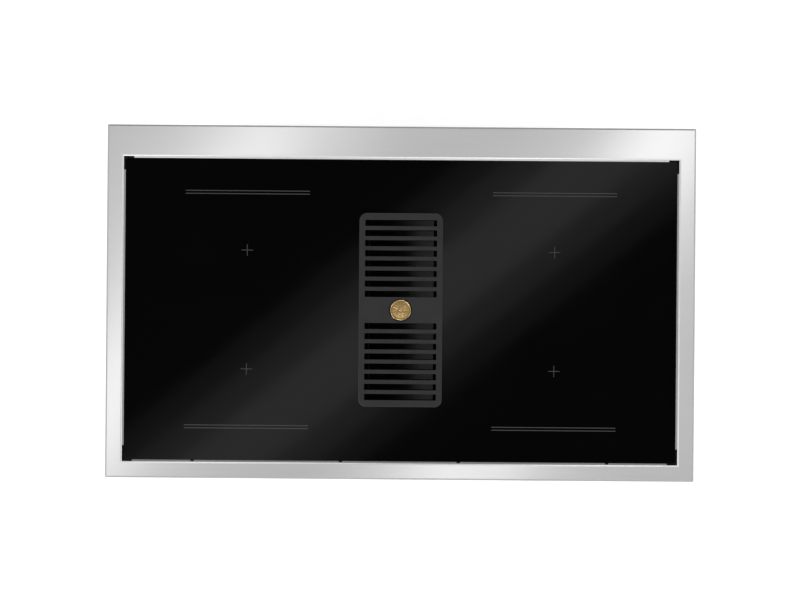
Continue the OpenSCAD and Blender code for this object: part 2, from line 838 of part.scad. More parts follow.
// Mineral wool round the oven, open for what goes through its back
module insulation() {
    color([0.85, 0.80, 0.62]) difference() {
        run_y(flange_y + sheet, wool_y1) translate([0, cavity_mid])
            rounded(cavity_w + 2 * wool_side, cavity_h + 2 * wool_side - 6, 16);
        run_y(flange_y, cavity_back + sheet) cavity_outline(sheet);
        at_each_oven_fan() rod_y(cavity_back, wool_y1 + 1, 0, 0, 8);
        at_each_oven_fan() at_each_standoff() rod_y(cavity_back, wool_y1 + 1, 0, 0, standoff_r + 1);
        at_each_oven_fan() at_each_ring_leg() rod_y(cavity_back, wool_y1 + 1, 0, 0, element_r + 1);
        at_each_lamp() rod_y(cavity_back, wool_y1 + 1, 0, 0, lamp_r - 3);
        at_each_grill_leg() rod_y(cavity_back, wool_y1 + 1, 0, 0, element_r + 1);
    }
}

// Oven

module cavity_outline(grow) {
    translate([0, cavity_mid]) rounded(cavity_w + 2 * grow, cavity_h + 2 * grow, 14 + grow);
}

module at_each_oven_fan() {
    for (s = [-1, 1]) translate([s * oven_fan_x, 0, cavity_mid]) children();
}

module at_each_standoff() {
    for (a = [90, 210, 330]) translate([34 * cos(a), 0, 34 * sin(a)]) children();
}

module at_each_ring_leg() {
    for (x = [-1, 1]) translate([x * ring_leg_x, 0, -ring_leg_z]) children();
}

module at_each_lamp() {
    for (s = [-1, 1]) translate([s * lamp_x, 0, lamp_z]) children();
}

module at_each_grill_leg() {
    for (s = [-1, 1]) translate([s * grill_leg_x, 0, grill_z]) children();
}

module oven_cavity() {
    flange = 29;
    color([0.10, 0.12, 0.16]) difference() {
        union() {
            run_y(flange_y, cavity_back + sheet) cavity_outline(sheet);
            run_y(flange_y, flange_y + sheet) cavity_outline(flange);
        }
        run_y(flange_y - 1, cavity_back) cavity_outline(0);
        at_each_oven_fan() rod_y(cavity_back - 1, cavity_back + 2 * sheet, 0, 0, 6);
        at_each_oven_fan() at_each_ring_leg()
            rod_y(cavity_back - 1, cavity_back + 2 * sheet, 0, 0, element_r + 0.3);
        at_each_lamp() rod_y(cavity_back - 1, cavity_back + 2 * sheet, 0, 0, lamp_r - 5);
        at_each_grill_leg() rod_y(cavity_back - 1, cavity_back + 2 * sheet, 0, 0, element_r + 0.3);
    }
}

// Height of the middle of a shelf's side wire at each level
function level_z(i) = cavity_z + 42 + i * 58;

module shelf_ladders() {
    post_r = 2.5;
    wire_r = 2;
    post_at = cavity_w / 2 - 3.5;
    wire_at = cavity_w / 2 - 7.5;
    y0 = flange_y + 14;
    y1 = ladder_end;
    color([0.78, 0.78, 0.79]) both() union() {
        for (y = [y0 + 18, y1 - 12]) {
            rod_z(cavity_z + 22, level_z(levels - 1) + 22, post_at, y, post_r);
            for (z = [cavity_z + 26, level_z(levels - 1) + 16]) rod_x(post_at, cavity_w / 2, y, z, 3.4);
        }
        for (i = [0:levels - 1], dz = [-shelf_wire_r - wire_r - 0.4, shelf_wire_r + wire_r + 2.6])
            rod_y(y0, y1, wire_at, level_z(i) + dz, wire_r);
    }
}

module wire_shelf() {
    z = level_z(1);
    x1 = cavity_w / 2 - 10;
    y0 = shelf_y0;
    y1 = shelf_y1;
    wires = 27;
    gap = (2 * x1 - 24) / (wires - 1);
    color([0.78, 0.78, 0.79]) union() {
        for (x = [-x1, x1]) rod_y(y0, y1, x, z, shelf_wire_r);
        for (y = [y0, y1]) rod_x(-x1, x1, y, z, shelf_wire_r);
        for (x = [-x1, x1], y = [y0, y1]) translate([x, y, z]) sphere(r = shelf_wire_r);
        for (y = [y0 + 95, y1 - 95]) rod_x(-x1, x1, y, z, shelf_wire_r - 0.6);
        for (i = [0:wires - 1]) rod_y(y0, y1, -x1 + 12 + i * gap, z + shelf_wire_r - 0.4, 1.5);
    }
}

// The tray hangs by its lip from the lowest pair of side wires
module baking_tray() {
    lip_z = level_z(0) - shelf_wire_r + 2;
    tray_h = 26;
    y_mid = (shelf_y0 + shelf_y1) / 2;
    tray_l = shelf_y1 - shelf_y0 - 4;
    lip_w = cavity_w - 16;
    color([0.09, 0.10, 0.12]) translate([0, y_mid, 0]) difference() {
        union() {
            run_z(lip_z - tray_h, lip_z) rounded(cavity_w - 34, tray_l - 12, 22);
            run_z(lip_z - 2, lip_z) rounded(lip_w, tray_l, 8);
        }
        run_z(lip_z - tray_h + 2, lip_z + 1) rounded(cavity_w - 38, tray_l - 16, 20);
    }
}

// A bent tube under the roof of the oven: straight runs joined by half circles
module grill_element() {
    runs = 8;
    pitch = (cavity_w - 150) / (runs - 1);
    y0 = flange_y + 70;
    y1 = cavity_back - 82;
    cross_y = cavity_back - 21;
    end_x = pitch * (runs - 1) / 2;
    hanger_x = pitch * 1.5;
    color([0.20, 0.18, 0.17]) translate([0, 0, grill_z]) union() {
        for (i = [0:runs - 1]) rod_y(y0, y1, i * pitch - end_x, 0, element_r);
        for (i = [0:runs - 2]) translate([(i + 0.5) * pitch - end_x, i % 2 == 0 ? y0 : y1, 0])
            rotate([0, 0, i % 2 == 0 ? 180 : 0]) half_ring(pitch / 2);
        both() union() {
            rod_y(y1, cross_y + element_r, end_x, 0, element_r);
            rod_x(grill_leg_x - element_r, end_x, cross_y, 0, element_r);
            rod_y(cross_y, wool_y1, grill_leg_x, 0, element_r);
            for (y = [y0 + 20, y1 - 20]) rod_z(0, cavity_top - grill_z, hanger_x, y, 2.5);
        }
    }
}

// Half a ring of tube on the +Y side
module half_ring(r) {
    rotate_extrude(angle = 180) translate([r, 0]) circle(r = element_r);
}

// A heating ring round each fan, open at the bottom where its legs go through the oven's back
module ring_elements() {
    ring_r = norm([ring_leg_x, ring_leg_z]);
    color([0.20, 0.18, 0.17]) at_each_oven_fan() union() {
        difference() {
            turned_y(0, oven_fan_y, 0) translate([ring_r, 0]) circle(r = element_r);
            box(-ring_leg_x, ring_leg_x, oven_fan_y - 10, oven_fan_y + 10, -ring_r - 10, 0);
        }
        at_each_ring_leg() rod_y(oven_fan_y - element_r, wool_y1, 0, 0, element_r);
    }
}

// A wheel with radial blades on a disc, and the shaft to its motor
module oven_fan(side) {
    blades = 10;
    blade_h = 13;
    disc_y = cavity_back - 3;
    at = [side * oven_fan_x, disc_y, cavity_mid];
    color([0.70, 0.71, 0.72]) translate(at) rotate([90, 0, 0]) union() {
        cylinder(h = 1.4, r = oven_fan_r - 4);
        for (i = [0:blades - 1]) rotate([0, 0, i * 360 / blades]) translate([24, -0.7, 0.5])
            rotate([0, 0, 14]) cube([oven_fan_r - 26, 1.4, blade_h]);
        cylinder(h = 11, r = 9);
        translate([0, 0, 10]) cylinder(h = 4, r = 5.5, $fn = 6);
        translate([0, 0, -motor_reach]) cylinder(h = motor_reach + 1, r = hinge_pin_r);
    }
}

module oven_fan_left() {
    oven_fan(-1);
}

module oven_fan_right() {
    oven_fan(1);
}

// A plate on four posts in front of each fan: slots in a ring draw the air in, and it leaves round the edge
module fan_covers() {
    cover_w = 300;
    cover_h = 270;
    front = cavity_back - 30;
    rays = 18;
    color([0.12, 0.14, 0.18]) at_each_oven_fan() union() {
        run_y(front, front + 1.5) difference() {
            rounded(cover_w, cover_h, 24);
            circle(r = 9);
            for (i = [0:rays - 1]) rotate(i * 360 / rays) translate([40, 0]) rounded(40, 5, 2.4);
        }
        run_y(front, front + 9) difference() {
            rounded(cover_w, cover_h, 24);
            rounded(cover_w - 3, cover_h - 3, 22.5);
        }
        for (x = [-1, 1], z = [-1, 1])
            rod_y(front + 1, cavity_back, x * (cover_w / 2 - 18), z * (cover_h / 2 - 18), 5);
    }
}

module oven_fan_motors() {
    can_r = 33;
    color([0.45, 0.46, 0.48]) at_each_oven_fan() difference() {
        union() {
            rod_y(wool_y1, wool_y1 + 2, 0, 0, 42);
            rod_y(wool_y1 + 1, wool_y1 + 34, 0, 0, can_r);
            run_y(wool_y1 + 8, wool_y1 + 26) rounded(76, 58, 4);
            at_each_standoff() rod_y(cavity_back + sheet, wool_y1 + 1, 0, 0, standoff_r);
        }
        rod_y(wool_y1 - 1, wool_y1 + 30, 0, 0, hinge_pin_r + running);
    }
}

module oven_lamps() {
    color([0.85, 0.88, 0.85]) at_each_lamp() union() {
        turned_y(0, cavity_back, 0) union() {
            difference() {
                square([lamp_r, 5]);
                square([lamp_r - 5, 6]);
            }
            intersection() {
                translate([0, -22]) circle(r = 34);
                square([lamp_r - 3, 20]);
            }
        }
        rod_y(cavity_back - 0.5, wool_y1, 0, 0, lamp_r - 6);
    }
}

module door_gasket() {
    bead_r = 5;
    ring_w = cavity_w + 2 * seal_reach;
    ring_h = cavity_h + 2 * seal_reach;
    turn = 20;
    color([0.12, 0.12, 0.12]) intersection() {
        translate([0, door_y1 + 0.3 + bead_r, cavity_mid]) union() {
            for (z = [-1, 1]) rod_x(-ring_w / 2 + turn, ring_w / 2 - turn, 0, z * ring_h / 2, bead_r);
            for (x = [-1, 1]) rod_z(-ring_h / 2 + turn, ring_h / 2 - turn, x * ring_w / 2, 0, bead_r);
            both() for (s = [0, 1]) mirror([0, 0, s]) translate([ring_w / 2 - turn, 0, ring_h / 2 - turn])
                rotate([90, 0, 0]) rotate_extrude(angle = 90) translate([turn, 0]) circle(r = bead_r);
        }
        box(-width, width, face_y, flange_y, base_z, height);
    }
}

// Door

// Side outline of the closed door box, from its front to y1, with its lower inner edge cut off
module door_side(inset, y0, y1) {
    cut = 9;
    difference() {
        translate([y0, door_z0 + inset]) square([y1 - y0, door_z1 - door_z0 - 2 * inset]);
        polygon([[door_y1 - cut - inset, door_z0 - 1], [door_y1 - cut - inset, door_z0 + inset],
            [door_y1 - inset, door_z0 + cut + inset], [door_y1 + 1, door_z0 + cut + inset],
            [door_y1 + 1, door_z0 - 1]]);
    }
}

// Slots through which the lugs of the front frame reach the pins
module lug_slots() {
    clear = 1.5;
    both() box(hinge_x - lug_t / 2 - clear, hinge_x + lug_t / 2 + clear, pivot_y - 10, door_y1 + 1,
        door_z0 - 1, pivot_z + 10);
}

module door_skin() {
    half = body_w / 2 - 1;
    join_y = door_y1 - 9;
    color([0.78, 0.78, 0.79]) difference() {
        run_x(-half, half) door_side(0, face_y, join_y);
        run_x(-half + sheet, half - sheet) door_side(sheet, face_y + sheet, join_y + 1);
        run_y(face_y - 1, face_y + 2 * sheet) translate([0, window_z]) rounded(window_w, window_h, 16);
        lug_slots();
    }
}

module door_window() {
    color([0.03, 0.03, 0.03]) run_y(face_y + sheet, face_y + sheet + 4) translate([0, window_z])
        rounded(window_w + 50, window_h + 50, 8);
}

module door_liner() {
    half = body_w / 2 - 1;
    join_y = door_y1 - 9;
    color([0.10, 0.11, 0.13]) difference() {
        run_x(-half, half) door_side(0, join_y, door_y1);
        run_x(-half + sheet, half - sheet) door_side(sheet, join_y - 1, door_y1 - sheet);
        run_y(door_y1 - 2 * sheet, door_y1 + 1) translate([0, window_z])
            rounded(window_w + 20, window_h - 10, 12);
        lug_slots();
    }
}

module door_inner_glass() {
    color([0.55, 0.60, 0.60]) run_y(door_y1 - sheet - 4, door_y1 - sheet) translate([0, window_z])
        rounded(window_w + 60, window_h + 30, 6);
}

// A bar handle on two posts with turned collars
module bar_handle(z) {
    bar_r = handle_d / 2;
    end_r = 2.5;
    color([0.78, 0.78, 0.79]) union() {
        translate([-bar_half, bar_y, z]) rotate([0, 90, 0]) rotate_extrude() union() {
            translate([0, end_r]) square([bar_r, 2 * bar_half - 2 * end_r]);
            square([bar_r - end_r, 2 * bar_half]);
            for (h = [end_r, 2 * bar_half - end_r]) translate([bar_r - end_r, h]) circle(r = end_r);
        }
        for (x = [-1, 1]) {
            rod_y(bar_y, face_y, x * post_x, z, 7);
            rod_y(face_y - 4, face_y, x * post_x, z, 11);
            rod_x(x * post_x - 11, x * post_x + 11, bar_y, z, bar_r + 1.2);
        }
    }
}

module door_handle() {
    bar_handle(door_bar_z);
}

// A bracket inside each side of the door whose two cheeks turn on the pin
module door_hinges() {
    cheek_t = 6;
    eye_r = 10;
    inner = lug_t / 2 + 1.5;
    outer = inner + cheek_t;
    web_y = face_y + sheet;
    top = pivot_z + 130;
    web_low = pivot_z + 12;
    color([0.66, 0.67, 0.68]) both() translate([hinge_x, 0, 0]) difference() {
        union() {
            box(-outer, outer, web_y, web_y + 3, web_low, top);
            for (s = [-1, 1]) run_x(s > 0 ? inner : -outer, s > 0 ? outer : -inner) union() {
                translate([pivot_y, pivot_z]) circle(r = eye_r);
                polygon([[web_y, pivot_z], [pivot_y, pivot_z - 8], [pivot_y + eye_r, pivot_z],
                    [web_y + 16, top], [web_y, top]]);
            }
        }
        rod_x(-outer - 1, outer + 1, pivot_y, pivot_z, hinge_pin_r + running);
    }
}

// Drawer

module drawer_front() {
    half = body_w / 2 - 1;
    color([0.78, 0.78, 0.79]) difference() {
        box(-half, half, face_y, door_y1, drawer_z0, drawer_z1);
        box(-half + sheet, half - sheet, face_y + sheet, door_y1 + 1, drawer_z0 + sheet, drawer_z1 - sheet);
    }
}

module drawer_box() {
    front_y = face_y + 18;
    rear_y = front_y + drawer_d;
    low = drawer_z0 + 10;
    high = drawer_z1 - 20;
    rail_h = 30;
    color([0.60, 0.61, 0.62]) union() {
        box(-body_w / 2 + 3, body_w / 2 - 3, front_y, front_y + sheet, drawer_z0 + 2, drawer_z1 - 2);
        difference() {
            box(-drawer_side, drawer_side, front_y, rear_y, low, high);
            box(-drawer_side + sheet, drawer_side - sheet, front_y - 1, rear_y - sheet,
                low + sheet, high + 1);
        }
        both() difference() {
            box(drawer_side - 0.5, drawer_side + 8, panel_y + 12, rear_y,
                runner_z - rail_h / 2, runner_z + rail_h / 2);
            rod_y(panel_y + 11, rear_y + 1, drawer_side + 8, runner_z, 5);
        }
    }
}

module drawer_handle() {
    bar_handle(drawer_bar_z);
}

module drawer_runners() {
    rail_h = 30;
    clear = 0.6;
    wall = 2;
    half_h = rail_h / 2 + clear + wall;
    y0 = panel_y + 2;
    y1 = face_y + 18 + drawer_d;
    color([0.72, 0.73, 0.74]) both() difference() {
        box(drawer_side + clear, inner_x, y0, y1, runner_z - half_h, runner_z + half_h);
        box(drawer_side - 1, inner_x - wall - 6, y0 - 1, y1 + 1,
            runner_z - half_h + wall, runner_z + half_h - wall);
    }
}

// Controls

module fascia() {
    half = body_w / 2;
    top_fold = 14;
    color([0.80, 0.80, 0.81]) difference() {
        box(-half, half, face_y, panel_y, fascia_z0, top_low);
        box(-half + sheet, half - sheet, face_y + sheet, panel_y + 1, fascia_z0 + sheet, top_low - sheet);
        box(-half + sheet, half - sheet, face_y + top_fold, panel_y + 1, top_low - 2 * sheet, top_low + 1);
        for (x = knob_x) rod_y(face_y - 1, face_y + 2 * sheet, x, knob_z, spindle_r + 1.5);
        run_y(face_y - 1, face_y + 2 * sheet) translate([0, knob_z])
            square([display_w, display_h], center = true);
    }
}

module control_display() {
    color([0.02, 0.02, 0.03]) union() {
        run_y(face_y - 2, face_y) translate([0, knob_z]) rounded(display_w + 10, display_h + 10, 4);
        run_y(face_y - 1, face_y + 24) translate([0, knob_z])
            square([display_w - 1, display_h - 1], center = true);
    }
}

module rotary_switches() {
    color([0.16, 0.16, 0.17]) for (x = knob_x) translate([x, 0, knob_z]) difference() {
        union() {
            run_y(face_y + sheet, face_y + 24) rounded(36, 36, 5);
            rod_y(face_y + 23, face_y + 30, 0, 0, 12);
            for (s = [-1, 1]) box(s * 9 - 3, s * 9 + 3, face_y + 20, face_y + 32, -16, -15.2);
        }
        rod_y(face_y, face_y + 22, 0, 0, spindle_r + running);
    }
}

module knob_bezels() {
    color([0.78, 0.62, 0.33]) for (x = knob_x) turned_y(x, face_y, knob_z) union() {
        translate([knob_d / 2 + 1, 0]) square([4.5, 2]);
        translate([knob_d / 2 + 3.2, 2]) circle(r = 1.6);
    }
}

// A turned knob on its spindle: flutes round the body and a pointer groove at the top
module knob(x) {
    skirt_h = 5;
    body_r = knob_d / 2 - 5;
    start = 0.9;
    color([0.74, 0.74, 0.75]) difference() {
        union() {
            turned_y(x, face_y - start, knob_z) union() {
                square([knob_d / 2 - 1.2, skirt_h]);
                translate([0, 1.2]) square([knob_d / 2, skirt_h - 2.4]);
                for (h = [1.2, skirt_h - 1.2]) translate([knob_d / 2 - 1.2, h]) circle(r = 1.2);
                square([body_r, knob_h - start - 2.5]);
                square([body_r - 2.5, knob_h - start]);
                translate([body_r - 2.5, knob_h - start - 2.5]) circle(r = 2.5);
            }
            rod_y(face_y - 5, face_y + 20, x, knob_z, spindle_r);
        }
        for (i = [0:knob_flutes - 1]) rotate_about(x, knob_z, (i + 0.5) * 360 / knob_flutes)
            rod_y(face_y - knob_h - 1, face_y - start - skirt_h - 3, x + body_r + 1.4, knob_z, 2.4);
        box(x - 1, x + 1, face_y - knob_h - 1, face_y - knob_h + 1, knob_z + 6, knob_z + body_r + 1);
    }
}

module rotate_about(x, z, angle) {
    translate([x, 0, z]) rotate([0, angle, 0]) translate([-x, 0, -z]) children();
}

module knob_1() {
    knob(knob_x[0]);
}

module knob_2() {
    knob(knob_x[1]);
}

module knob_3() {
    knob(knob_x[2]);
}

module knob_4() {
    knob(knob_x[3]);
}

module knob_5() {
    knob(knob_x[4]);
}

module knob_6() {
    knob(knob_x[5]);
}

// Feet

// Each foot is a turned leg with a threaded collar and a broad pad
module feet() {
    leg_r = 22;
    pad_r = 27;
    collar_r = leg_r + 10;
    stem_r = 12;
    color([0.75, 0.75, 0.76]) for (x = [-foot_x, foot_x], y = [foot_front, foot_rear])
        translate([x, y, 0]) rotate_extrude() union() {
            square([pad_r, 5]);
            polygon([[0, 4], [pad_r, 4], [pad_r - 3, 9], [stem_r, 12], [stem_r, 26], [leg_r, 30],
                [leg_r, pan_z - 8], [collar_r, pan_z - 4], [collar_r, pan_z], [0, pan_z]]);
        }
}

worktop();
ceramic_glass();
glass_seals();
trim_strips();
vent_grille();
medallion();
grease_filters();
vent_well();
suction_duct();
fan_chamber();
blower_scroll();
blower_wheel();
blower_motor();
exhaust_spigot();
coil_trays();
coil_formers();
induction_coils();
power_boards();
cooling_fan_frames();
cooling_fan_left();
cooling_fan_right();
side_panels();
back_panel();
terminal_box();
base_pan();
front_frame();
insulation();
oven_cavity();
shelf_ladders();
wire_shelf();
baking_tray();
grill_element();
ring_elements();
oven_fan_left();
oven_fan_right();
fan_covers();
oven_fan_motors();
oven_lamps();
door_gasket();
door_skin();
door_window();
door_inner_glass();
door_liner();
door_handle();
door_hinges();
drawer_front();
drawer_box();
drawer_handle();
drawer_runners();
fascia();
control_display();
rotary_switches();
knob_bezels();
knob_1();
knob_2();
knob_3();
knob_4();
knob_5();
knob_6();
feet();
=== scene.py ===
"""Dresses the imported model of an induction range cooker: finishes, prints, screws and a plain studio."""
import json
import math

import bmesh
import bpy
from bpy.props import FloatProperty, FloatVectorProperty, IntProperty, PointerProperty
from mathutils import Euler, Matrix, Vector


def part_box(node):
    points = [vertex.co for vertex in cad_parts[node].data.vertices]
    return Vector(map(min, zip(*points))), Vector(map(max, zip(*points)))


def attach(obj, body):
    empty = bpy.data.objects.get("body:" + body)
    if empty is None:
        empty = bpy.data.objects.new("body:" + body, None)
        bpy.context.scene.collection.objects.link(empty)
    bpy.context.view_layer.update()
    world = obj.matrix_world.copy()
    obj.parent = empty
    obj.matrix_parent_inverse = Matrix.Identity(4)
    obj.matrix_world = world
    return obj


bl_info = {
    "name": "Induction range cooker",
    "version": (1, 0, 0),
    "blender": (4, 5, 0),
    "location": "3D View > Sidebar > Cooker",
    "description": "Finishes, printed marks, screws and studio for an induction range cooker",
    "category": "Object",
}

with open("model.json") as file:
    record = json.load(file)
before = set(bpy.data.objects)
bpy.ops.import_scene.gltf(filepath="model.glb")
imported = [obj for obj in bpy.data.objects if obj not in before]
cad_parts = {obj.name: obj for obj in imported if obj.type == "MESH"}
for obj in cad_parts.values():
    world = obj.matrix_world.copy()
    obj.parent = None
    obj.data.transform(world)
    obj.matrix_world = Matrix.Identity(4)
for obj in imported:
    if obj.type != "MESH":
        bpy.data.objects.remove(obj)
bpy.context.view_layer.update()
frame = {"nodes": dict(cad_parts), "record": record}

# Places on the cooker, in metres
GLASS_LOW, GLASS_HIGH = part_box("ceramic_glass")
GLASS_TOP = GLASS_HIGH.z
HOB_Y = (GLASS_LOW.y + GLASS_HIGH.y) / 2
KNOB_BOXES = [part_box(f"knob_{i}") for i in range(1, 7)]
KNOB_XS = [(low.x + high.x) / 2 for low, high in KNOB_BOXES]
KNOB_Z = (KNOB_BOXES[0][0].z + KNOB_BOXES[0][1].z) / 2
FACE_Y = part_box("fascia")[0].y

# Ink stands this far out of the face it is printed on, and is rooted this deep in it, in metres
INK_HEIGHT = 0.00012
INK_ROOT = 0.0001


# Colours and settings


def linear(hex_code):
    """Turns an sRGB hex code into a linear colour with alpha."""
    parts = [int(hex_code[i : i + 2], 16) / 255 for i in (1, 3, 5)]
    return (*[p / 12.92 if p <= 0.04045 else ((p + 0.055) / 1.055) ** 2.4 for p in parts], 1.0)


def shade(colour, factor=1.0):
    """A colour made darker or lighter, with alpha."""
    return (*[min(1.0, c * factor) for c in colour[:3]], 1.0)


class CookerSizes(bpy.types.PropertyGroup):
    """Sizes of the printed marks, perforations and fastenings."""

    mark_width: FloatProperty(
        name="Mark width", description="Width of the printed zone lines", default=0.0014, unit="LENGTH"
    )
    zone_x: FloatProperty(
        name="Zone centre", description="Centre of each zone from the middle", default=0.261, unit="LENGTH"
    )
    zone_width: FloatProperty(
        name="Zone width", description="Length of the printed zone lines", default=0.211, unit="LENGTH"
    )
    zone_reach: FloatProperty(
        name="Zone reach", description="Inner zone line from the hob's middle", default=0.1966, unit="LENGTH"
    )
    line_gap: FloatProperty(
        name="Line gap", description="Distance between the two lines of a pair", default=0.005, unit="LENGTH"
    )
    cross_y: FloatProperty(
        name="Cross place", description="Centre of each cross from the middle", default=0.1009, unit="LENGTH"
    )
    cross_size: FloatProperty(
        name="Cross size", description="Width of each printed cross", default=0.0195, unit="LENGTH"
    )
    hole_pitch: FloatProperty(
        name="Hole pitch", description="Distance between filter perforations", default=0.0038, unit="LENGTH"
    )
    hole_size: FloatProperty(
        name="Hole size", description="Width of a filter perforation", default=0.0024, unit="LENGTH"
    )
    screw_head: FloatProperty(
        name="Screw head", description="Diameter of a pan-head screw", default=0.0078, unit="LENGTH"
    )
    tick_length: FloatProperty(
        name="Tick length", description="Length of the ticks round a knob", default=0.0034, unit="LENGTH"
    )
    tick_count: IntProperty(name="Ticks", description="Number of ticks round a knob", default=10, min=2)


class CookerColours(bpy.types.PropertyGroup):
    """Colours of the finishes."""

    steel: FloatVectorProperty(
        name="Steel", description="Brushed stainless steel", default=linear("#C9C9C9")[:3], subtype="COLOR"
    )
    bright: FloatVectorProperty(
        name="Bright steel", description="Polished stainless", default=linear("#D6D6D5")[:3], subtype="COLOR"
    )
    glass: FloatVectorProperty(
        name="Hob glass", description="Black ceramic glass", default=linear("#060606")[:3], subtype="COLOR"
    )
    grille: FloatVectorProperty(
        name="Grille", description="Matt enamel on cast iron", default=linear("#262626")[:3], subtype="COLOR"
    )
    brass: FloatVectorProperty(
        name="Brass", description="Satin brass", default=linear("#CFB078")[:3], subtype="COLOR"
    )
    mark: FloatVectorProperty(
        name="Zone marks", description="Ink on the glass", default=linear("#414141")[:3], subtype="COLOR"
    )


class CookerStudio(bpy.types.PropertyGroup):
    """Camera and light."""

    lens: FloatProperty(name="Lens", description="Focal length", default=85.0, unit="CAMERA")
    height: FloatProperty(
        name="Camera height", description="Camera above the floor", default=4.106, unit="LENGTH"
    )
    aim_x: FloatProperty(
        name="Aim X", description="Place of the lens left and right", default=-0.0011, unit="LENGTH"
    )
    aim_y: FloatProperty(
        name="Aim Y", description="Place of the lens front and back", default=0.0052, unit="LENGTH"
    )
    roll: FloatProperty(
        name="Roll", description="Turn of the camera", default=math.radians(0.47), subtype="ANGLE"
    )
    sky: FloatProperty(name="Room light", description="Strength of the room's even light", default=0.55)
    key: FloatProperty(name="Key lamp", description="Power of the key lamp", default=70.0, unit="POWER")


# Finishes


def add_node(tree, kind, inputs=None, **settings):
    """Adds a node with its settings; inputs holds values, and the sockets that links come from."""
    node = tree.nodes.new(kind)
    for key, value in settings.items():
        setattr(node, key, value)
    for key, value in (inputs or {}).items():
        if isinstance(value, bpy.types.NodeSocket):
            tree.links.new(value, node.inputs[key])
        else:
            node.inputs[key].default_value = value
    return node


def start_finish(name):
    """Starts a material, and gives it with its tree and the place on the object in metres."""
    material = bpy.data.materials.new(name)
    material.use_nodes = True
    tree = material.node_tree
    tree.nodes.clear()
    return material, tree, add_node(tree, "ShaderNodeTexCoord").outputs["Object"]


def end_finish(material, shader):
    """Ends a material with its shader, which takes the values and links given."""
    tree = material.node_tree
    surface = add_node(tree, "ShaderNodeBsdfPrincipled", shader).outputs[0]
    add_node(tree, "ShaderNodeOutputMaterial", {"Surface": surface})
    return material


def mottle(tree, place, spacing, low=0.0, high=1.0, detail=3.0):
    """A soft uneven value from low to high; spacing is its size in metres, one for all or x, y and z."""
    sides = spacing if isinstance(spacing, tuple) else (spacing, spacing, spacing)
    scaled = add_node(tree, "ShaderNodeMapping", {"Vector": place, "Scale": [1 / side for side in sides]})
    cloud = {"Vector": scaled.outputs[0], "Scale": 1.0, "Detail": detail}
    noise = add_node(tree, "ShaderNodeTexNoise", cloud).outputs[0]
    spread = {"Value": noise, "From Min": 0.3, "From Max": 0.7, "To Min": low, "To Max": high}
    return add_node(tree, "ShaderNodeMapRange", spread).outputs[0]


def two_tone(tree, value, dark, light):
    """The colour of a finish: dark where the value is 0, light where it is 1."""
    return add_node(tree, "ShaderNodeMix", {0: value, 6: dark, 7: light}, data_type="RGBA").outputs[2]


def relief(tree, height, depth, edge=0.0005):
    """The slope of a surface raised by depth metres times height, over edges rounded by a real radius."""
    rounded = add_node(tree, "ShaderNodeBevel", {"Radius": edge}, samples=4).outputs[0]
    bump = {"Height": height, "Distance": depth, "Normal": rounded}
    return add_node(tree, "ShaderNodeBump", bump).outputs[0]


def brushed_steel(name, colour, grain, rough):
    """Stainless sheet ground with a fine belt: a soft sheen in streaks along the grain.
    The streaks are 1.6 mm apart where the real ones are 0.1 mm, so that they show in a picture."""
    material, tree, place = start_finish(name)
    streak = mottle(tree, place, grain)
    cloud = mottle(tree, place, 0.21, rough - 0.02, rough + 0.03, 1.0)
    uneven = add_node(tree, "ShaderNodeMath", {0: streak, 1: 0.012, 2: cloud}, operation="MULTIPLY_ADD")
    return end_finish(material, {
        "Metallic": 1.0,
        "Base Color": two_tone(tree, streak, shade(colour, 0.985), shade(colour, 1.015)),
        "Roughness": uneven.outputs[0],
        "Normal": relief(tree, streak, 0.0000012),
    })


def polished_steel(name, colour):
    """Buffed stainless steel: near-mirror gloss, with faint haze and long smears from the last mop."""
    material, tree, place = start_finish(name)
    smear = mottle(tree, place, (0.09, 0.004, 0.004))
    return end_finish(material, {
        "Metallic": 1.0,
        "Base Color": two_tone(tree, smear, shade(colour, 0.96), shade(colour, 1.02)),
        "Roughness": mottle(tree, place, 0.03, 0.14, 0.22),
        "Normal": relief(tree, smear, 0.000003),
    })


def black_ceramic_glass(name, colour):
    """Rolled glass ceramic, black right through: deep gloss with a ripple 50 mm long, only just felt."""
    material, tree, place = start_finish(name)
    ripple = mottle(tree, place, 0.05, detail=1.0)
    return end_finish(material, {
        "Base Color": shade(colour),
        "IOR": 1.54,
        "Roughness": mottle(tree, place, 0.12, 0.07, 0.1),
        "Normal": relief(tree, ripple, 0.00001, 0.001),
    })


def clear_float_glass(name):
    """Clear float glass: a faint green body, with light finger haze 60 mm wide."""
    material, tree, place = start_finish(name)
    return end_finish(material, {
        "Base Color": linear("#E9F2EE"),
        "IOR": 1.52,
        "Transmission Weight": 1.0,
        "Roughness": mottle(tree, place, 0.06, 0.01, 0.05),
    })


def frosted_lamp_glass(name):
    """Pressed and frosted glass: milky, with ripples 4 mm apart that break up the lamp behind."""
    material, tree, place = start_finish(name)
    return end_finish(material, {
        "Base Color": linear("#F1F0E6"),
        "IOR": 1.5,
        "Transmission Weight": 0.7,
        "Roughness": mottle(tree, place, 0.01, 0.3, 0.42),
        "Normal": relief(tree, mottle(tree, place, 0.004), 0.0002),
    })


def matt_skin(name, colour, rough=0.5, grain=0.0016, depth=0.00012):
    """A dull coat over a rough base, such as enamel on cast iron: a fine orange peel, dull on the flats
    and soft on the edges. Grain and depth are those of its lumps, in metres."""
    material, tree, place = start_finish(name)
    peel = mottle(tree, place, grain)
    return end_finish(material, {
        "Specular IOR Level": 0.4,
        "Base Color": two_tone(tree, peel, shade(colour, 0.88), shade(colour, 1.12)),
        "Roughness": mottle(tree, place, 0.02, rough - 0.05, rough + 0.07),
        "Normal": relief(tree, peel, depth, 0.0012),
    })


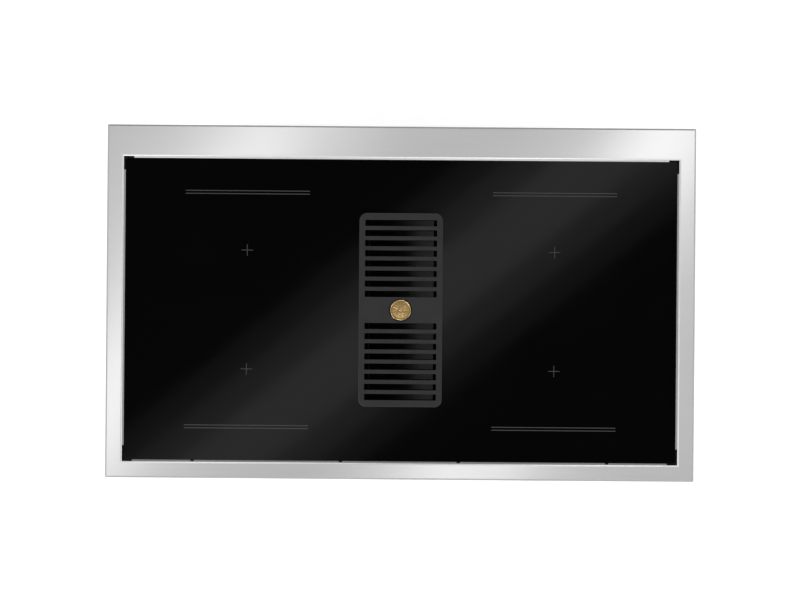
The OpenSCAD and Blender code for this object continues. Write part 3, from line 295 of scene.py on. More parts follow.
def gloss_enamel(name, colour):
    """Enamel fired on sheet: a dark glassy glaze with pale specks about 1.4 mm wide and 3.5 mm apart,
    which is coarser than real pin specks, so that they show in a picture."""
    material, tree, place = start_finish(name)
    cells = add_node(tree, "ShaderNodeTexVoronoi", {"Vector": place, "Scale": 1 / 0.0035})
    reach = cells.outputs["Distance"]
    speck = {"Value": reach, "From Min": 0.16, "From Max": 0.24, "To Min": 1.0, "To Max": 0.0}
    dots = add_node(tree, "ShaderNodeMapRange", speck).outputs[0]
    return end_finish(material, {
        "IOR": 1.52,
        "Base Color": two_tone(tree, dots, colour, linear("#50545C")),
        "Roughness": mottle(tree, place, 0.02, 0.16, 0.28),
        "Normal": relief(tree, mottle(tree, place, 0.012, detail=1.0), 0.00002, 0.0015),
    })


def cast_brass(name, colour, rough):
    """Cast and finished brass: warm metal with a fine grain, and brown tarnish left in its hollows."""
    material, tree, place = start_finish(name)
    hollow = add_node(tree, "ShaderNodeAmbientOcclusion", {"Distance": 0.002}, samples=6, only_local=True)
    tarnish = mottle(tree, place, 0.004, 0.85, 1.0)
    cleaned = {0: hollow.outputs["AO"], 1: tarnish}
    clean = add_node(tree, "ShaderNodeMath", cleaned, operation="MULTIPLY").outputs[0]
    return end_finish(material, {
        "Metallic": 1.0,
        "Base Color": two_tone(tree, clean, linear("#4A3218"), shade(colour)),
        "Roughness": mottle(tree, place, 0.003, rough, rough * 1.5),
        "Normal": relief(tree, mottle(tree, place, 0.0006), 0.00002, 0.0003),
    })


def zinc_sheet(name, dark, light):
    """Hot-dip zinc on steel sheet: flat spangles about 8 mm wide, each with its own grey and gloss."""
    material, tree, place = start_finish(name)
    spangle = add_node(tree, "ShaderNodeTexVoronoi", {"Vector": place, "Scale": 1 / 0.008})
    grey = add_node(tree, "ShaderNodeRGBToBW", {"Color": spangle.outputs["Color"]}).outputs[0]
    gloss = {"Value": grey, "To Min": 0.34, "To Max": 0.5}
    return end_finish(material, {
        "Metallic": 1.0,
        "Base Color": two_tone(tree, grey, linear(dark), linear(light)),
        "Roughness": add_node(tree, "ShaderNodeMapRange", gloss).outputs[0],
        "Normal": relief(tree, mottle(tree, place, 0.003), 0.00002),
    })


def mill_metal(name, hex_code, rough, lines=(0.04, 0.0015, 0.04)):
    """Rolled metal as it leaves the mill: dull, with roll lines.
    They are 1.5 mm apart where real ones are finer, so that they show in a picture."""
    material, tree, place = start_finish(name)
    colour = linear(hex_code)
    rolled = mottle(tree, place, lines)
    return end_finish(material, {
        "Metallic": 1.0,
        "Base Color": two_tone(tree, rolled, shade(colour, 0.9), shade(colour, 1.06)),
        "Roughness": mottle(tree, place, 0.03, rough * 0.86, rough * 1.22),
        "Normal": relief(tree, rolled, 0.00001),
    })


def moulded_plastic(name, hex_code, rough, grain=0.0009):
    """Injection-moulded plastic: an even colour with the spark-eroded grain of its mould.
    The grain is 0.9 mm wide where the real one is about 0.1 mm, so that it shows in a picture."""
    material, tree, place = start_finish(name)
    colour = linear(hex_code)
    grained = mottle(tree, place, grain)
    return end_finish(material, {
        "IOR": 1.5,
        "Base Color": two_tone(tree, grained, shade(colour, 0.9), shade(colour, 1.1)),
        "Roughness": mottle(tree, place, 0.05, rough - 0.04, rough + 0.06),
        "Normal": relief(tree, grained, 0.00003),
    })


def black_rubber(name):
    """Extruded rubber: dead matt black with a dusty bloom in patches 12 mm wide."""
    material, tree, place = start_finish(name)
    bloom = mottle(tree, place, 0.012)
    return end_finish(material, {
        "Specular IOR Level": 0.15,
        "Base Color": two_tone(tree, bloom, linear("#040404"), linear("#0A0A09")),
        "Roughness": mottle(tree, place, 0.004, 0.8, 0.95),
        "Normal": relief(tree, bloom, 0.00005),
    })


def wound_copper(name):
    """Enamelled litz wire wound flat: warm copper under lacquer, with bundles 2.2 mm across."""
    material, tree, place = start_finish(name)
    bundles = add_node(tree, "ShaderNodeTexVoronoi", {"Vector": place, "Scale": 1 / 0.0022})
    return end_finish(material, {
        "Metallic": 1.0,
        "Coat Weight": 0.4,
        "Coat Roughness": 0.2,
        "Base Color": two_tone(tree, mottle(tree, place, 0.002), linear("#7A3E1C"), linear("#C9814B")),
        "Roughness": mottle(tree, place, 0.01, 0.3, 0.45),
        "Normal": relief(tree, bundles.outputs["Distance"], 0.0006),
    })


def coated_board(name):
    """Glass-fibre circuit board: green lacquer, with paler copper tracks 0.3 mm wide round its fields.
    At 60 units of the pattern to the metre, the fields are 8 mm long and 4 mm wide."""
    material, tree, place = start_finish(name)
    fields = {
        "Vector": place,
        "Scale": 60.0,
        "Mortar Size": 0.018,
        "Color1": linear("#0F3D22"),
        "Color2": linear("#12472A"),
        "Mortar": linear("#2E7045"),
    }
    return end_finish(material, {
        "IOR": 1.5,
        "Base Color": add_node(tree, "ShaderNodeTexBrick", fields).outputs[0],
        "Roughness": mottle(tree, place, 0.01, 0.3, 0.42),
        "Normal": relief(tree, mottle(tree, place, 0.002), 0.00005),
    })


def mineral_wool(name):
    """Pressed mineral wool: matted straw-coloured fibres with darker binder patches.
    The fibres are 2 mm thick where real ones are hair-fine, so that they show in a picture."""
    material, tree, place = start_finish(name)
    fibre = mottle(tree, place, (0.012, 0.002, 0.004), detail=8.0)
    return end_finish(material, {
        "Roughness": 0.95,
        "Base Color": two_tone(tree, fibre, linear("#9A8A5A"), linear("#D8CDA4")),
        "Normal": relief(tree, fibre, 0.002, 0.003),
    })


def oxidised_sheath(name):
    """Tubular heater sheath after firing: dull brown-grey oxide with blotches 10 mm wide."""
    material, tree, place = start_finish(name)
    burn = mottle(tree, place, 0.01)
    return end_finish(material, {
        "Metallic": 0.7,
        "Base Color": two_tone(tree, burn, linear("#2A2623"), linear("#4C453F")),
        "Roughness": mottle(tree, place, 0.003, 0.42, 0.6),
        "Normal": relief(tree, burn, 0.00004),
    })


def printed_ink(name, colour):
    """Ceramic ink screened on glass or steel: flat and slightly rough, a little uneven in its density."""
    material, tree, place = start_finish(name)
    return end_finish(material, {
        "IOR": 1.45,
        "Base Color": two_tone(tree, mottle(tree, place, 0.002), shade(colour, 0.88), shade(colour, 1.1)),
        "Roughness": mottle(tree, place, 0.001, 0.35, 0.5),
    })


def lit_segments(name, hex_code):
    """Display segments behind tinted plastic: cool white, lit at a plain level and not quite even."""
    material, tree, place = start_finish(name)
    lit = two_tone(tree, mottle(tree, place, 0.004), shade(linear(hex_code), 0.9), linear(hex_code))
    return end_finish(material, {
        "Emission Strength": 0.9,
        "Emission Color": lit,
        "Base Color": lit,
        "Roughness": 0.3,
    })


# Meshes and geometry trees


def box_into(bm, low, high):
    """Adds a closed box between two corners."""
    corners = bmesh.ops.create_cube(bm, size=1.0)["verts"]
    size, middle = Vector(high) - Vector(low), (Vector(high) + Vector(low)) / 2
    for v in corners:
        v.co = Vector((v.co.x * size.x, v.co.y * size.y, v.co.z * size.z)) + middle


def ring_into(bm, centre, section, steps=72):
    """Adds a closed ring about an upright axis; its section is a row of radii and heights."""
    turns = [2 * math.pi * i / steps for i in range(steps)]
    loops = []
    for r, z in section:
        circle = [(centre.x + r * math.cos(a), centre.y + r * math.sin(a), z) for a in turns]
        loops.append([bm.verts.new(point) for point in circle])
    for k, loop in enumerate(loops):
        after = loops[(k + 1) % len(loops)]
        for i in range(steps):
            j = (i + 1) % steps
            bm.faces.new((loop[i], loop[j], after[j], after[i]))


def column_into(bm, outline, low, high):
    """Adds a closed column over an outline whose corners run anticlockwise, seen from above."""
    below = [bm.verts.new((*corner, low)) for corner in outline]
    above = [bm.verts.new((*corner, high)) for corner in outline]
    bm.faces.new(list(reversed(below)))
    bm.faces.new(above)
    for i in range(len(outline)):
        j = (i + 1) % len(outline)
        bm.faces.new((below[i], below[j], above[j], above[i]))


def write_into(bm, words, place, size, proud):
    """Adds upright lettering that faces the front, centred on a place."""
    curve = bpy.data.curves.new("words", "FONT")
    curve.body, curve.size, curve.extrude = words, size, proud
    curve.align_x, curve.align_y, curve.resolution_u = "CENTER", "CENTER", 3
    holder = bpy.data.objects.new("words", curve)
    bpy.context.scene.collection.objects.link(holder)
    graph = bpy.context.evaluated_depsgraph_get()
    mesh = bpy.data.meshes.new_from_object(holder.evaluated_get(graph))
    mesh.transform(Matrix.Translation(place) @ Matrix.Rotation(math.radians(90), 4, "X"))
    bm.from_mesh(mesh)
    bpy.data.meshes.remove(mesh)
    bpy.data.objects.remove(holder)
    bpy.data.curves.remove(curve)


def keep_mesh(name, bm, finish, body):
    """Turns a bmesh into a piece with its finish and body."""
    mesh = bpy.data.meshes.new(name)
    bm.to_mesh(mesh)
    bm.free()
    piece = bpy.data.objects.new(name, mesh)
    bpy.context.scene.collection.objects.link(piece)
    keep_piece(piece, finish, body)


def keep_piece(piece, finish, body):
    """Gives a piece its finish and the body it rides on."""
    piece.data.materials.clear()
    piece.data.materials.append(finish)
    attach(piece, body)


def start_tree(name, sockets):
    """Starts a geometry tree with named inputs, and gives it with its inlet."""
    kinds = {tuple: "NodeSocketVector", int: "NodeSocketInt", float: "NodeSocketFloat"}
    tree = bpy.data.node_groups.new(name, "GeometryNodeTree")
    tree.interface.new_socket("Geometry", in_out="INPUT", socket_type="NodeSocketGeometry")
    for label, value in sockets.items():
        socket = tree.interface.new_socket(label, in_out="INPUT", socket_type=kinds[type(value)])
        socket.default_value = value
    tree.interface.new_socket("Geometry", in_out="OUTPUT", socket_type="NodeSocketGeometry")
    return tree, add_node(tree, "NodeGroupInput").outputs


def end_tree(tree, shape, finish):
    """Ends a geometry tree: real faces with a finish."""
    real = add_node(tree, "GeometryNodeRealizeInstances", {0: shape}).outputs[0]
    done = add_node(tree, "GeometryNodeSetMaterial", {"Geometry": real, "Material": finish}).outputs[0]
    add_node(tree, "NodeGroupOutput", {0: done})


def shape_by_nodes(name, tree, values, points):
    """Runs a tree on a mesh of points and gives an object that holds the plain result."""
    mesh = bpy.data.meshes.new(name + "_points")
    mesh.from_pydata(points, [], [])
    holder = bpy.data.objects.new(name, mesh)
    bpy.context.scene.collection.objects.link(holder)
    modifier = holder.modifiers.new("shape", "NODES")
    modifier.node_group = tree
    for item in tree.interface.items_tree:
        if item.item_type == "SOCKET" and item.in_out == "INPUT" and item.name in values:
            modifier[item.identifier] = values[item.name]
    graph = bpy.context.evaluated_depsgraph_get()
    plain = bpy.data.meshes.new_from_object(holder.evaluated_get(graph))
    holder.modifiers.clear()
    holder.data = plain
    plain.name = name
    if not plain.polygons:
        raise RuntimeError(f"{name} came out empty")
    return holder


# Pieces


class COOKER_OT_finishes(bpy.types.Operator):
    """Give every solid of the cooker its real finish"""

    bl_idname = "cooker.finishes"
    bl_label = "Finishes"

    def execute(self, context):
        finishes = self.by_slot(context.scene.cooker_colours)
        slots = {row["node"]: row["material_slot"] for row in frame["record"]["subparts"]}
        for node, solid in frame["nodes"].items():
            finish = finishes[slots[node]]
            for slot in solid.material_slots:
                slot.material = finish
            if not solid.material_slots:
                solid.data.materials.append(finish)
        return {"FINISHED"}

    def by_slot(self, colours):
        """The finish of each of the record's material slots."""
        across, upright = (0.12, 0.0016, 0.0016), (0.0016, 0.0016, 0.12)
        turned = (0.0012, 0.0012, 0.03)
        steel, side = shade(colours.steel), shade(colours.steel, 0.92)
        return {
            # Worktop and fronts: belt-ground from left to right, a soft sheen
            "brushed_steel": brushed_steel("brushed_stainless_steel", steel, across, 0.22),
            # Trim strips, handles and knobs: bright bars that mirror the room
            "polished_steel": polished_steel("polished_stainless_steel", colours.bright),
            # Side panels: the grain stands upright, a little darker and duller
            "side_steel": brushed_steel("upright_brushed_steel", side, upright, 0.3),
            # Back, base, chamber and drawer box: a patchwork of zinc crystals
            "bare_sheet": zinc_sheet("zinc_coated_sheet", "#A6A7A7", "#B9BABA"),
            # Coil trays: pale aluminium sheet, dull from the mill
            "tray_aluminium": mill_metal("mill_aluminium", "#C6C8CA", 0.36),
            # Hob and door window: black glass that shows only what it mirrors
            "ceramic_glass": black_ceramic_glass("black_ceramic_glass", colours.glass),
            # Inner pane of the door: clear, faintly green
            "clear_glass": clear_float_glass("clear_float_glass"),
            # Seals: black lines that take no light
            "black_rubber": black_rubber("black_extruded_rubber"),
            # Vent grille: dark grey, with a fine peel and soft edges
            "cast_grille": matt_skin("matt_enamelled_cast_iron", colours.grille),
            # Medallion and knob rims: warm, browner where they are deep
            "brass": cast_brass("satin_brass", colours.brass, 0.24),
            # Filter cassettes: nearly black metal with a narrow sheen
            "filter_metal": mill_metal("dark_anodised_aluminium", "#3E3E3F", 0.1),
            # Well, scroll, small fans, switches and spigot: even black, half matt
            "black_plastic": moulded_plastic("black_moulded_nylon", "#1C1C1D", 0.48),
            # Suction duct: plain grey, half matt
            "grey_plastic": moulded_plastic("grey_moulded_duct", "#8E9194", 0.5),
            # Blower wheel: darker grey, slightly shinier from its glass filling
            "blower_parts": moulded_plastic("grey_glass_filled_nylon", "#5A5C5F", 0.45),
            # Motor shells: stoved grey paint with a wide, shallow peel
            "motor_metal": matt_skin("grey_painted_motor_shell", linear("#4E5154"), 0.4, 0.003, 0.00005),
            # Coil formers: pressed mica, dry and stone-coloured
            "former_board": matt_skin("pressed_mica_board", linear("#8A8374"), 0.7, 0.002, 0.00008),
            # Induction coils: lacquered copper strands
            "copper": wound_copper("enamelled_litz_wire"),
            # Power boards: green lacquer over tracks
            "circuit_board": coated_board("lacquered_circuit_board"),
            # Insulation: straw-coloured felt
            "mineral_wool": mineral_wool("pressed_mineral_wool"),
            # Oven cavity, liner, fan covers and tray: blue-black glaze with specks
            "enamel": gloss_enamel("speckled_oven_enamel", linear("#191C22")),
            # Shelf and ladders: thin bright wire
            "chromed_wire": polished_steel("chromed_steel_wire", linear("#D9DBDC")),
            # Heating coils: burnt brown-grey
            "element_metal": oxidised_sheath("oxidised_heater_sheath"),
            # Oven fans: pressed steel with roll lines
            "fan_steel": mill_metal("pressed_fan_steel", "#B9BBBD", 0.34),
            # Oven lamps: milky and rippled
            "lamp_glass": frosted_lamp_glass("frosted_lamp_glass"),
            # Display: smoked plastic, nearly a mirror
            "display_black": moulded_plastic("gloss_black_display", "#08080A", 0.12, 0.02),
            # Feet: satin steel turned on a lathe
            "foot_metal": mill_metal("satin_foot_steel", "#B4B5B6", 0.36, turned),
        }


class COOKER_OT_zone_marks(bpy.types.Operator):
    """Print the lines and crosses of the two flexible zones on the glass"""

    bl_idname = "cooker.zone_marks"
    bl_label = "Zone marks"

    def execute(self, context):
        sizes = context.scene.cooker_sizes
        half_line, half_zone, arm = sizes.mark_width / 2, sizes.zone_width / 2, sizes.cross_size / 2
        thinner_in_crosses = 0.8
        half_arm = half_line * thinner_in_crosses
        low, high = GLASS_TOP - INK_ROOT, GLASS_TOP + INK_HEIGHT
        bm = bmesh.new()
        for side_x in (-1, 1):
            x = side_x * sizes.zone_x
            for side_y in (-1, 1):
                for reach in (sizes.zone_reach, sizes.zone_reach + sizes.line_gap):
                    y = HOB_Y + side_y * reach
                    box_into(bm, (x - half_zone, y - half_line, low), (x + half_zone, y + half_line, high))
                y = HOB_Y + side_y * sizes.cross_y
                box_into(bm, (x - arm, y - half_arm, low), (x + arm, y + half_arm, high))
                box_into(bm, (x - half_arm, y + half_arm, low), (x + half_arm, y + arm, high))
                box_into(bm, (x - half_arm, y - arm, low), (x + half_arm, y - half_arm, high))
        # Grey ceramic ink on black glass: thin matt lines that stay visible in its gloss
        ink = printed_ink("grey_ceramic_ink", context.scene.cooker_colours.mark)
        keep_mesh("zone_marks", bm, ink, "cabinet")
        return {"FINISHED"}


class COOKER_OT_filter_sheets(bpy.types.Operator):
    """Lay a perforated sheet over a fleece pad in each grease filter"""

    bl_idname = "cooker.filter_sheets"
    bl_label = "Filter sheets"

    def execute(self, context):
        low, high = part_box("grease_filters")
        half_width, middle_rail, end_rail = 0.0537, 0.008, 0.0165
        above_core, sheet_depth, pad_gap, pad_depth = 0.0034, 0.0004, 0.0008, 0.0014
        middle_y = (low.y + high.y) / 2
        front = (low.y + end_rail, middle_y - middle_rail)
        rear = (middle_y + middle_rail, high.y - end_rail)
        top = (low.z + high.z) / 2 + above_core
        step = context.scene.cooker_sizes.hole_pitch
        row_step = step * math.sqrt(3) / 2
        points = []
        for start, end in (front, rear):
            for row in range(int((end - start) / row_step) + 1):
                shift = (step / 2 if row % 2 else 0.0) - half_width
                for column in range(int(2 * half_width / step)):
                    # A quarter of a step in from the edge, so that both kinds of row fit
                    points.append((shift + (column + 0.25) * step, start + row * row_step, top))
        values = {
            "Tile radius": step / math.sqrt(3),
            "Hole radius": context.scene.cooker_sizes.hole_size / 2,
            "Thickness": sheet_depth,
        }
        # Punched aluminium, anodised dark: a narrow sheen broken up by the holes
        punched = mill_metal("perforated_filter_sheet", "#404041", 0.055)
        tree = self.perforations(values, punched)
        keep_piece(shape_by_nodes("filter_sheets", tree, values, points), punched, "grille")
        pad_top = top - pad_gap
        pad_bottom = pad_top - pad_depth
        bm = bmesh.new()
        for start, end in (front, rear):
            box_into(bm, (-half_width, start - step / 2, pad_bottom), (half_width, end, pad_top))
        # Activated carbon in fleece: black and fuzzy, so that the holes read as holes
        fleece = matt_skin("carbon_fleece", linear("#0B0B0B"), 0.9, 0.0008, 0.0003)
        keep_mesh("carbon_pads", bm, fleece, "grille")
        return {"FINISHED"}

    def perforations(self, values, finish):
        """A tree that sets a six-sided tile with a hole on each point, so that the tiles meet as a sheet."""
        tree, inlet = start_tree("perforated_sheet", values)
        outline = {"Vertices": 6, "Radius": inlet["Tile radius"]}
        tile = add_node(tree, "GeometryNodeMeshCircle", outline, fill_type="NGON").outputs[0]
        ratio = {0: inlet["Hole radius"], 1: inlet["Tile radius"]}
        shrink = add_node(tree, "ShaderNodeMath", ratio, operation="DIVIDE").outputs[0]
        ring = add_node(tree, "GeometryNodeExtrudeMesh", {"Mesh": tile, "Offset Scale": 0.0}, mode="FACES")
        inside = {"Geometry": ring.outputs["Mesh"], "Selection": ring.outputs["Top"], "Scale": shrink}
        hole = add_node(tree, "GeometryNodeScaleElements", inside, domain="FACE").outputs[0]
        down = {0: inlet["Thickness"], 1: -1.0}
        depth = add_node(tree, "ShaderNodeMath", down, operation="MULTIPLY").outputs[0]
        sunk = {"Mesh": hole, "Selection": ring.outputs["Top"], "Offset Scale": depth}
        wall = add_node(tree, "GeometryNodeExtrudeMesh", sunk, mode="FACES")
        bottom = {"Geometry": wall.outputs["Mesh"], "Selection": wall.outputs["Top"]}
        punched = add_node(tree, "GeometryNodeDeleteGeometry", bottom, domain="FACE").outputs[0]
        spread = {"Points": inlet["Geometry"], "Instance": punched}
        end_tree(tree, add_node(tree, "GeometryNodeInstanceOnPoints", spread).outputs[0], finish)
        return tree


class COOKER_OT_strip_notch_fills(bpy.types.Operator):
    """Fill the four notches of the front trim strip with black blocks"""

    bl_idname = "cooker.strip_clips"
    bl_label = "Strip notch fills"

    def execute(self, context):
        strips_low, strips_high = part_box("trim_strips")
        notches = (-0.352, -0.1, 0.1, 0.352)
        half_back, half_front, recessed, depth = 0.0034, 0.0016, 0.0009, 0.0025
        clear_of_glass, proud = 0.00015, 0.0001
        front = strips_low.y + recessed
        back = front + depth
        bottom, top = GLASS_TOP + clear_of_glass, strips_high.z + proud
        bm = bmesh.new()
        for x in notches:
            outline = (
                (x - half_back, back),
                (x - half_front, front),
                (x + half_front, front),
                (x + half_back, back),
            )
            column_into(bm, outline, bottom, top)
        # Black blocks in the notches: small black gaps in the bright strip
        black_fill = black_rubber("black_notch_rubber")
        keep_mesh("strip_clips", bm, black_fill, "cabinet")
        return {"FINISHED"}


class COOKER_OT_medallion_rim(bpy.types.Operator):
    """Lay a black ring in the gap round the medallion as painted shadow, and on its rim a polished bead
    painted lighter than the brass
    """

    bl_idname = "cooker.medallion_rim"
    bl_label = "Medallion rim"

    def execute(self, context):
        low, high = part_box("medallion")
        middle, radius = (low + high) / 2, (high.x - low.x) / 2
        gap, shadow_ring_width, shadow_ring_height, seat_depth = 0.0001, 0.0013, 0.0005, 0.0015
        inner = radius + gap
        outer = inner + shadow_ring_width
        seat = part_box("vent_grille")[1].z - seat_depth
        lip = seat + shadow_ring_height
        bm = bmesh.new()
        ring_into(bm, middle, ((inner, seat), (outer, seat), (outer, lip), (inner, lip)))
        # Painted shadow: a black rubber ring stands in for the shade in the gap round the medallion, a black
        # line that sets the brass off
        black_fill = black_rubber("black_painted_shadow_gap")
        keep_mesh("medallion_shadow_ring", bm, black_fill, "grille")
        bead, inset, sunk, facets = 0.0006, 0.0007, 0.0005, 8
        reach, base = radius - inset, high.z - sunk
        arc = [math.pi * i / facets for i in range(facets + 1)]
        bm = bmesh.new()
        ring_into(bm, middle, [(reach + bead * math.cos(a), base + bead * math.sin(a)) for a in arc])
        # The same brass polished, and painted lighter than the satin face: a bright thread round it, in part
        # a painted highlight
        bright = cast_brass("polished_brass_painted_lighter", linear("#EBCF98"), 0.12)
        keep_mesh("medallion_bead", bm, bright, "grille")
        return {"FINISHED"}


class COOKER_OT_dial_marks(bpy.types.Operator):
    """Print ticks and numbers round the knobs on the fascia"""

    bl_idname = "cooker.dial_marks"
    bl_label = "Dial marks"

    def execute(self, context):
        sizes = context.scene.cooker_sizes
        sweep = math.radians(270)
        tick_width, tick_depth = 0.0007, 0.0002
        tick_circle, number_circle, per_letter, lettering = 0.0352, 0.0432, 0.0018, 0.0062
        # Black ink screened on steel: crisp and slightly rough beside the brushed sheen
        ink = printed_ink("black_fascia_ink", linear("#1B1B1C"))
        values = {
            "Tick": (tick_width, tick_depth, sizes.tick_length),
            "Radius": tick_circle,
            "Ticks": sizes.tick_count,
            "Sweep": sweep,
        }
        centres = [(x, FACE_Y, KNOB_Z) for x in KNOB_XS]
        ticks = shape_by_nodes("dial_ticks", self.dials(values, ink), values, centres)
        keep_piece(ticks, ink, "cabinet")
        zone_steps = ("0", "3", "6", "9")
        oven_modes = ("0", "1", "2", "3", "4", "5")
        oven_heat = ("0", "50", "100", "150", "200", "250")
        scales = (zone_steps, zone_steps, zone_steps, zone_steps, oven_modes, oven_heat)
        bm = bmesh.new()
        for x, labels in zip(KNOB_XS, scales):
            for n, label in enumerate(labels):
                angle = sweep * n / (len(labels) - 1)
                reach = number_circle + per_letter * (len(label) - 1)
                place = (x + reach * math.sin(angle), FACE_Y, KNOB_Z + reach * math.cos(angle))
                write_into(bm, label, place, lettering, INK_HEIGHT)
        keep_mesh("dial_numbers", bm, ink, "cabinet")
        half_width, start, end = 0.00097, KNOB_Z + 0.0061, KNOB_Z + 0.0219
        groove_depth, fill, root = 0.001, 0.0004, 0.0002
        for i, x in enumerate(KNOB_XS, 1):
            groove = KNOB_BOXES[i - 1][0].y + groove_depth
            bm = bmesh.new()
            box_into(bm, (x - half_width, groove - fill, start), (x + half_width, groove + root, end))
            keep_mesh(f"pointer_{i}", bm, ink, f"knob_{i}")
        return {"FINISHED"}

    def dials(self, values, ink):
        """A tree that sets ticks round each point, from straight up and clockwise through the sweep."""
        tree, inlet = start_tree("dial_ticks", values)
        tick = add_node(tree, "GeometryNodeMeshCube", {"Size": inlet["Tick"]}).outputs[0]
        row = {"Count": inlet["Ticks"], "Offset": (0.0, 0.0, 0.0)}
        line = add_node(tree, "GeometryNodeMeshLine", row).outputs[0]
        index = add_node(tree, "GeometryNodeInputIndex").outputs[0]
        last = add_node(tree, "ShaderNodeMath", {0: inlet["Ticks"], 1: -1.0}, operation="ADD").outputs[0]
        share = add_node(tree, "ShaderNodeMath", {0: index, 1: last}, operation="DIVIDE").outputs[0]
        swept = {0: share, 1: inlet["Sweep"]}
        angle = add_node(tree, "ShaderNodeMath", swept, operation="MULTIPLY").outputs[0]
        sine = add_node(tree, "ShaderNodeMath", {0: angle}, operation="SINE").outputs[0]
        cosine = add_node(tree, "ShaderNodeMath", {0: angle}, operation="COSINE").outputs[0]
        way = add_node(tree, "ShaderNodeCombineXYZ", {0: sine, 2: cosine}).outputs[0]
        reach = {0: way, "Scale": inlet["Radius"]}
        place = add_node(tree, "ShaderNodeVectorMath", reach, operation="SCALE").outputs[0]
        turn = add_node(tree, "ShaderNodeCombineXYZ", {1: angle}).outputs[0]
        spread = add_node(tree, "GeometryNodeSetPosition", {"Geometry": line, "Position": place}).outputs[0]
        marks = {"Points": spread, "Instance": tick, "Rotation": turn}
        dial = add_node(tree, "GeometryNodeInstanceOnPoints", marks).outputs[0]
        knobs = {"Points": inlet["Geometry"], "Instance": dial}
        end_tree(tree, add_node(tree, "GeometryNodeInstanceOnPoints", knobs).outputs[0], ink)
        return tree


class COOKER_OT_clock(bpy.types.Operator):
    """Light the clock's four digits behind the display, and print the signs of its keys"""

    bl_idname = "cooker.clock"
    bl_label = "Clock digits"

    def execute(self, context):
        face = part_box("control_display")[0].y
        bm = bmesh.new()
        self.digits_into(bm, face)
        # Segments behind smoked plastic: cool white with a soft unevenness
        lit = lit_segments("lit_display_segments", "#E8F2F6")
        keep_mesh("clock_digits", bm, lit, "cabinet")
        bm = bmesh.new()
        keys = ((-0.092, "-"), (-0.068, "+"), (0.068, "-"), (0.092, "+"))
        lettering, proud = 0.012, 0.0001
        for x, sign in keys:
            write_into(bm, sign, (x, face, KNOB_Z), lettering, proud)
        # Pale ink on gloss black: matt signs, dimmer than the digits
        pale = printed_ink("pale_display_ink", linear("#9EA4A8"))
        keep_mesh("display_signs", bm, pale, "cabinet")
        return {"FINISHED"}

    def digits_into(self, bm, face):
        """Adds the strokes of 12:00; a to g are a digit's seven segments, clockwise from its top."""
        strokes_of = {"0": "abcdef", "1": "bc", "2": "abged"}
        width, height, stroke = 0.0097, 0.0184, 0.0022
        half, cut_back, mid = stroke / 2, stroke * 0.6, height / 2
        level = {"a": height, "g": mid, "d": 0}
        upright = {"f": (0, mid), "b": (width, mid), "e": (0, 0), "c": (width, 0)}
        proud, root = 0.0001, 0.0004
        front, back, foot = face - proud, face + root, KNOB_Z - mid
        # Each digit and its left side
        for digit, left in (("1", -0.0375), ("2", -0.0205), ("0", 0.0045), ("0", 0.0215)):
            for name in strokes_of[digit]:
                if name in level:
                    z = foot + level[name]
                    start, end = left + stroke, left + width - stroke
                    box_into(bm, (start, front, z - half), (end, back, z + half))
                else:
                    x, z = left + upright[name][0], foot + upright[name][1]
                    box_into(bm, (x - half, front, z + cut_back), (x + half, back, z + mid - cut_back))
        colon_x, colon_reach, half_dot = -0.003, 0.004, 0.0012
        for z in (KNOB_Z - colon_reach, KNOB_Z + colon_reach):
            low = (colon_x - half_dot, front, z - half_dot)
            box_into(bm, low, (colon_x + half_dot, back, z + half_dot))


